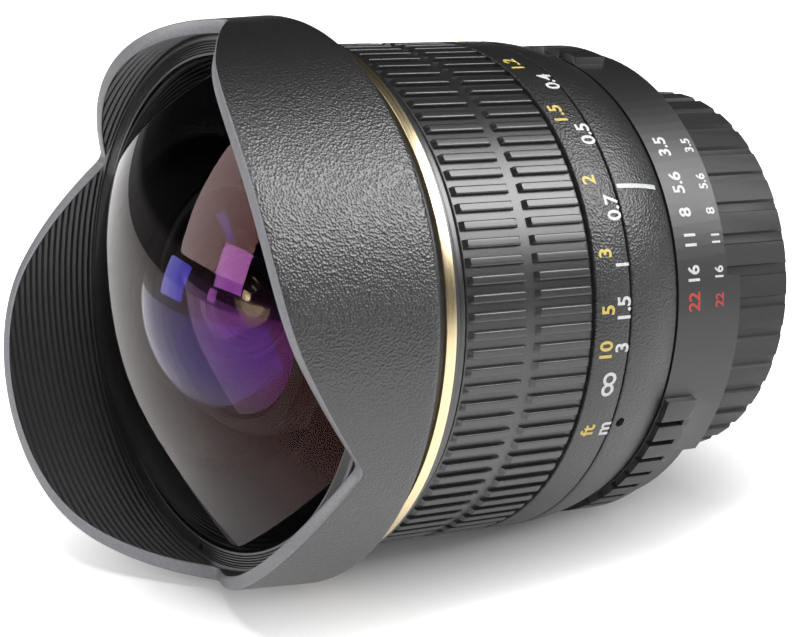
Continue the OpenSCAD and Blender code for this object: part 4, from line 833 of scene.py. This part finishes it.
def makeRubber():
    d = rubber
    middle = (d["rear"] + d["front"]) / 2
    rows = [d["rear"] + d["edge"], middle - d["rowGap"] / 2, middle + d["rowGap"] / 2, d["front"] - d["edge"]]
    corners = [(d["bore"], d["rear"]), (d["base"], d["rear"], d["baseRound"])]
    corners += [(d["base"], z) for z in rows]
    corners += [(d["base"], d["front"], d["baseRound"]), (d["bore"], d["front"])]
    columns = d["ribs"] * d["pitchColumns"]
    bm = turnedRing(corners, columns)
    step = 360 / columns
    turnAbout(bm.verts[:], bm, step / 2)  # so that a rib's middle column lies on its angle
    ribs = []
    for f in bm.faces:
        r, z = facePlace(f)
        centre = f.calc_center_median()
        column = round(degrees(atan2(centre.z, centre.x)) % 360 / step) % d["pitchColumns"]
        inRib = min(column, d["pitchColumns"] - column) <= d["ribColumns"] // 2
        inRow = rows[0] < z < rows[1] or rows[2] < z < rows[3]
        if inRib and inRow and r > (d["bore"] + d["base"]) / 2:
            ribs.append(f)

    def lean(z):  # the ends of a rib slope in
        near = min(rows, key=lambda row: abs(row - z))
        if abs(near - z) > hair:
            return z
        return z + d["endSlope"] if near in (rows[0], rows[2]) else z - d["endSlope"]

    raised(bm, ribs, d["top"], d["ribRound"], lean)
    turnAbout(bm.verts[:], bm, d["ribTurn"])
    piece(bm, "rubberGrip", "focus", [rubberBlack], ["rubber_grip"], sharp=40)


makeRubber()
print("rings turned, rubber ribbed")


# Aperture ring, rear cap and mount from their own solids, with eased edges

easedEdges = {"aperture_ring": 0.14, "rear_cap": 0.12, "mount_ring": 0.1}
fromNode("aperture_ring", "apertureRing", apertureBlack, easedEdges["aperture_ring"])
fromNode("rear_cap", "rearCap", capPlastic, easedEdges["rear_cap"])
fromNode("mount_ring", "mountRing", chrome, easedEdges["mount_ring"])
print("aperture ring, cap and mount eased")


# Pieces inside keep their own solids

insideFinishes = {
    "anodised": (anodised, ["front_cell", "second_retainer", "doublet_retainer", "main_barrel", "guide_tube",
                            "iris_base", "iris_cover", "rear_baffle", "rear_cell", "front_spacer",
                            "middle_spacer", "rear_spacer", "rear_retainer"]),
    "steel": (steel, ["hood_screws", "set_screws", "guide_screws", "iris_screws", "mount_screws",
                      "key_screws", "baffle_screws", "sleeve_clip", "detent_ball", "detent_spring",
                      "drive_pin", "focus_key"]),
    "aluminium": (aluminium, ["iris_actuator", "cam_sleeve"]),
    "brass": (brass, ["cam_followers"]),
    "glass": (clearGlass, ["fifth_element", "sixth_element", "seventh_element", "eighth_element",
                           "ninth_element", "tenth_element"]),
    "blades": (bladeBlack, ["blade_" + str(k) for k in range(1, 7)]),
}
for finish, nodes in insideFinishes.values():
    for node in nodes:
        data = frame["nodes"][node].data
        data.materials.clear()
        data.materials.append(finish)


# Numbers and index line, laid on the turned surfaces

marks = {
    "lift": 0.035,
    "sink": 0.05,
    "feetHeight": 24.35,
    "feetTall": 2.05,
    "metreHeight": 21.75,
    "metreTall": 2.1,
    "farTurn": 44.75,
    "throwLinear": 24.7,
    "throwSquare": 2.26,
    "unitTurn": 56.4,
    "stopTall": 1.92,
    "stopHeight": 8.3,
    "stopSmallTall": 1.4,
    "stopSmallHeight": 3.9,
    "stopTurn": -1.3,
    "stopStep": 7.4,
    "restStop": 5.6,
    "feet": 0.3048,
    "bold": 0.022,
    "farTall": 3.5,
    "farHeight": 22.95,
    "stopRadius": 31.8,
    "capitals": 0.72,
}


def letters(text, bold):  # a closed flat mesh of the text, at the font's own size
    curve = bpy.data.curves.new("text", "FONT")
    curve.body = text
    curve.extrude = 0.5
    curve.offset = bold
    curve.resolution_u = 6
    carrier = bpy.data.objects.new("text", curve)
    scene.collection.objects.link(carrier)
    ready = carrier.evaluated_get(bpy.context.evaluated_depsgraph_get())
    mesh = bpy.data.meshes.new_from_object(ready)
    bm = bmesh.new()
    bm.from_mesh(mesh)
    bpy.data.objects.remove(carrier)
    bpy.data.curves.remove(curve)
    bpy.data.meshes.remove(mesh)
    bmesh.ops.remove_doubles(bm, verts=bm.verts[:], dist=1e-5)
    return bm


def layMark(target, text, turn, height, tall, surface, quarter=False):
    bm = letters(text, 0 if quarter else marks["bold"])
    scale = tall / marks["capitals"]
    if quarter:
        bmesh.ops.rotate(bm, verts=bm.verts[:], cent=(0, 0, 0), matrix=Matrix.Rotation(pi / 2, 3, "Z"))
    xs = [v.co.x for v in bm.verts]
    ys = [v.co.y for v in bm.verts]
    midX = (min(xs) + max(xs)) / 2
    midY = (min(ys) + max(ys)) / 2 if quarter else marks["capitals"] / 2
    for v in bm.verts:
        across, up = (v.co.x - midX) * scale, (v.co.y - midY) * scale
        z = height + up
        r = surface(z)
        skin = marks["lift"] if v.co.z > 0 else -marks["sink"]
        v.co = spot(r + skin, z, turn + degrees(across / r))
    mesh = bpy.data.meshes.new("mark")
    bm.to_mesh(mesh)
    bm.free()
    target.from_mesh(mesh)
    bpy.data.meshes.remove(mesh)


def distanceTurn(metres):  # clockwise from the index line at rest
    near = 1 / metres
    return marks["farTurn"] - marks["throwLinear"] * near - marks["throwSquare"] * near ** 2


def makeMarks():
    def band(height):
        return scaleRing["radius"]

    def apertureSurface(height):
        return marks["stopRadius"]

    feet = bmesh.new()
    for value in (1, 1.2, 1.5, 2, 3, 5, 10):
        layMark(feet, f"{value:g}", indexAt - distanceTurn(value * marks["feet"]), marks["feetHeight"],
                marks["feetTall"], band)
    layMark(feet, "ft", indexAt - marks["unitTurn"], marks["feetHeight"], marks["feetTall"], band)
    piece(feet, "feetNumbers", "focus", [yellowMark])

    metres = bmesh.new()
    for value in (0.3, 0.4, 0.5, 0.7, 1, 1.5, 3):
        layMark(metres, f"{value:g}", indexAt - distanceTurn(value), marks["metreHeight"],
                marks["metreTall"], band)
    layMark(metres, "m", indexAt - marks["unitTurn"], marks["metreHeight"], marks["metreTall"], band)
    layMark(metres, "8", indexAt - marks["farTurn"], marks["farHeight"], marks["farTall"], band, True)
    piece(metres, "metreNumbers", "focus", [whiteMark])

    white, red = bmesh.new(), bmesh.new()
    for stop in ("3.5", "5.6", "8", "11", "16", "22"):
        steps = 2 * log2(float(stop) / marks["restStop"])
        turn = indexAt - (marks["stopTurn"] + marks["stopStep"] * steps)
        target = red if stop == "22" else white
        layMark(target, stop, turn, marks["stopHeight"], marks["stopTall"], apertureSurface)
        layMark(target, stop, turn, marks["stopSmallHeight"], marks["stopSmallTall"], apertureSurface)
    piece(white, "stopNumbers", "aperture", [whiteMark])
    piece(red, "smallestStopNumber", "aperture", [redMark])


makeMarks()

indexLine = {"low": 12.6, "high": 20.05, "wide": 0.6}


def makeIndexLine():
    low, high = indexLine["low"], indexLine["high"]
    bm = bmesh.new()
    bmesh.ops.create_grid(bm, x_segments=2, y_segments=12, size=0.5)
    lifted = bmesh.ops.extrude_face_region(bm, geom=bm.faces[:])["geom"]
    bmesh.ops.translate(bm, verts=[v for v in lifted if isinstance(v, bmesh.types.BMVert)], vec=(0, 0, 1))
    for v in bm.verts:
        z = (low + high) / 2 + v.co.y * (high - low)
        r = indexSurface(min(z, indexRing["front"]))
        skin = marks["lift"] if v.co.z > 0.5 else -marks["sink"]
        v.co = spot(r + skin, z, indexAt + degrees(v.co.x * indexLine["wide"] / r))
    piece(bm, "indexLine", "lens_body", [whiteMark])


makeIndexLine()
print("numbers laid")


# Camera, floor and light

camera = bpy.data.objects.new("camera", bpy.data.cameras.new("camera"))
scene.collection.objects.link(camera)
scene.camera = camera
view = {
    "place": (295.85, -246.27, 93.19),
    "aim": (-0.7840, 0.5649, -0.2576),
    "roll": 5.49,
    "lens": 124.16,
    "sensor": 36.0,
    "nearest": 0.01,
}
facing = Vector(view["aim"]).to_track_quat("-Z", "Y").to_matrix().to_4x4()
camera.matrix_world = (Matrix.Translation(Vector(view["place"]) * mm) @ facing
                       @ Matrix.Rotation(radians(view["roll"]), 4, "Z"))
camera.data.lens = view["lens"]
camera.data.sensor_width = view["sensor"]
camera.data.clip_start = view["nearest"]

floorPlan = {
    "tilt": 6.4,
    "drop": 31.42,
    "half": 1500.0,
    "colour": 0.82,
    # the floor's glow, seen by the camera and in reflections, is dimmed near the lens and along it: painted
    # shade on the floor round the lens, deepening its cast shadow
    "glowFrom": 38.0,
    "glowTo": 66.0,
    "glowInPaintedShade": 0.03,
    "glowFar": 0.92,
    "glowShift": (0, 0.02325, 0),
    "glowStretch": (1.8, 0.75, 1),
}


def makeFloor():
    bm = bmesh.new()
    bmesh.ops.create_circle(bm, cap_ends=True, segments=96, radius=floorPlan["half"] * mm)
    tilt = Matrix.Rotation(radians(floorPlan["tilt"]), 4, "X")
    normal = tilt @ Vector((0, 0, 1))
    place = Matrix.Translation(-normal * floorPlan["drop"] * mm) @ tilt
    bmesh.ops.transform(bm, matrix=place, verts=bm.verts[:])
    mesh = bpy.data.meshes.new("floor")
    bm.to_mesh(mesh)
    bm.free()
    floor = bpy.data.objects.new("floor", mesh)
    scene.collection.objects.link(floor)
    material = bpy.data.materials.new("paleFloor")
    material.use_nodes = True
    tree = material.node_tree
    tree.nodes.clear()
    output = tree.nodes.new("ShaderNodeOutputMaterial")
    diffuse = tree.nodes.new("ShaderNodeBsdfDiffuse")
    diffuse.inputs["Color"].default_value = (*[floorPlan["colour"]] * 3, 1)
    glow = tree.nodes.new("ShaderNodeEmission")
    coords = tree.nodes.new("ShaderNodeTexCoord")
    middle = tree.nodes.new("ShaderNodeMapping")
    middle.inputs["Location"].default_value = floorPlan["glowShift"]
    middle.inputs["Scale"].default_value = floorPlan["glowStretch"]
    tree.links.new(coords.outputs["Object"], middle.inputs["Vector"])
    away = tree.nodes.new("ShaderNodeVectorMath")
    away.operation = "LENGTH"
    tree.links.new(middle.outputs["Vector"], away.inputs[0])
    # glow rises with distance from the lens, so the floor round it stays darker: painted shade
    sweep = tree.nodes.new("ShaderNodeMapRange")
    sweep.inputs["From Min"].default_value = floorPlan["glowFrom"] * mm
    sweep.inputs["From Max"].default_value = floorPlan["glowTo"] * mm
    sweep.inputs["To Min"].default_value = floorPlan["glowInPaintedShade"]
    sweep.inputs["To Max"].default_value = floorPlan["glowFar"]
    tree.links.new(away.outputs["Value"], sweep.inputs["Value"])
    rays = tree.nodes.new("ShaderNodeLightPath")
    seen = tree.nodes.new("ShaderNodeMath")
    seen.operation = "MAXIMUM"
    tree.links.new(rays.outputs["Is Camera Ray"], seen.inputs[0])
    tree.links.new(rays.outputs["Is Glossy Ray"], seen.inputs[1])
    strength = tree.nodes.new("ShaderNodeMath")
    strength.operation = "MULTIPLY"
    tree.links.new(sweep.outputs["Result"], strength.inputs[0])
    tree.links.new(seen.outputs[0], strength.inputs[1])
    tree.links.new(strength.outputs[0], glow.inputs["Strength"])
    add = tree.nodes.new("ShaderNodeAddShader")
    tree.links.new(diffuse.outputs[0], add.inputs[0])
    tree.links.new(glow.outputs[0], add.inputs[1])
    tree.links.new(add.outputs[0], output.inputs["Surface"])
    mesh.materials.append(material)


makeFloor()

lamps = {  # places in metres, power in watts; one with "only" lights just mirrored or just matte surfaces
    "topBox": {"place": (0.40, 0.44, 0.60), "side": 0.5, "power": 7.5, "only": "shine"},
    "frontBox": {"place": (-0.37, -0.79, 0.23), "side": 0.45, "power": 4.0, "only": "shine"},
    "ceilingBox": {"place": (0.07, -0.22, 0.80), "side": 0.4, "power": 4.5, "only": "matte"},
    "matteFill": {"place": (0.75, -0.35, 0.3), "side": 0.5, "power": 3.0, "only": "matte"},
    "overBox": {"place": (0.12, -0.12, 0.85), "side": 0.5, "power": 1.8, "only": ""},
    "cameraFill": {"place": (0.75, -0.35, 0.3), "side": 0.5, "power": 1.0, "only": ""},
}
lampAim = (0, -0.035, 0)


def makeLamp(name, d):
    data = bpy.data.lights.new(name, "AREA")
    data.shape = "RECTANGLE"
    data.size = d["side"]
    data.size_y = d["side"]
    data.energy = d["power"]
    lamp = bpy.data.objects.new(name, data)
    scene.collection.objects.link(lamp)
    lamp.location = d["place"]
    lamp.rotation_euler = (Vector(lampAim) - Vector(d["place"])).to_track_quat("-Z", "Y").to_euler()
    lamp.visible_diffuse = d["only"] != "shine"
    lamp.visible_glossy = lamp.visible_transmission = d["only"] != "matte"


for lampName, lampPlan in lamps.items():
    makeLamp(lampName, lampPlan)

studio = {
    "white": 1.0,
    "ambient": 0.06,
    "mirrored": [(0.0, 0.25), (0.04, 0.05), (0.2, 0.01)],  # height of the way out, and its grey
}


def makeWorld():
    world = bpy.data.worlds.new("studio")
    scene.world = world
    world.use_nodes = True
    tree = world.node_tree
    tree.nodes.clear()
    output = tree.nodes.new("ShaderNodeOutputWorld")
    rays = tree.nodes.new("ShaderNodeLightPath")
    coords = tree.nodes.new("ShaderNodeTexCoord")
    split = tree.nodes.new("ShaderNodeSeparateXYZ")
    tree.links.new(coords.outputs["Generated"], split.inputs[0])
    ceiling = tree.nodes.new("ShaderNodeValToRGB")
    stops = ceiling.color_ramp.elements
    (lowAt, low), (middleAt, middle), (highAt, high) = studio["mirrored"]
    stops[0].position, stops[1].position = lowAt, highAt
    stops[0].color = (*grey(low), 1)
    stops[1].color = (*grey(high), 1)
    stops.new(middleAt).color = (*grey(middle), 1)
    tree.links.new(split.outputs["Z"], ceiling.inputs["Fac"])
    white = tree.nodes.new("ShaderNodeBackground")
    white.inputs["Strength"].default_value = studio["white"]
    mirrored = tree.nodes.new("ShaderNodeBackground")
    tree.links.new(ceiling.outputs["Color"], mirrored.inputs["Color"])
    ambient = tree.nodes.new("ShaderNodeBackground")
    ambient.inputs["Strength"].default_value = studio["ambient"]
    shiny = tree.nodes.new("ShaderNodeMath")
    shiny.operation = "MAXIMUM"
    tree.links.new(rays.outputs["Is Glossy Ray"], shiny.inputs[0])
    tree.links.new(rays.outputs["Is Transmission Ray"], shiny.inputs[1])
    first = tree.nodes.new("ShaderNodeMixShader")
    tree.links.new(shiny.outputs[0], first.inputs["Fac"])
    tree.links.new(ambient.outputs[0], first.inputs[1])
    tree.links.new(mirrored.outputs[0], first.inputs[2])
    second = tree.nodes.new("ShaderNodeMixShader")
    tree.links.new(rays.outputs["Is Camera Ray"], second.inputs["Fac"])
    tree.links.new(first.outputs[0], second.inputs[1])
    tree.links.new(white.outputs[0], second.inputs[2])
    tree.links.new(second.outputs[0], output.inputs["Surface"])


makeWorld()
print("camera, floor and light set")
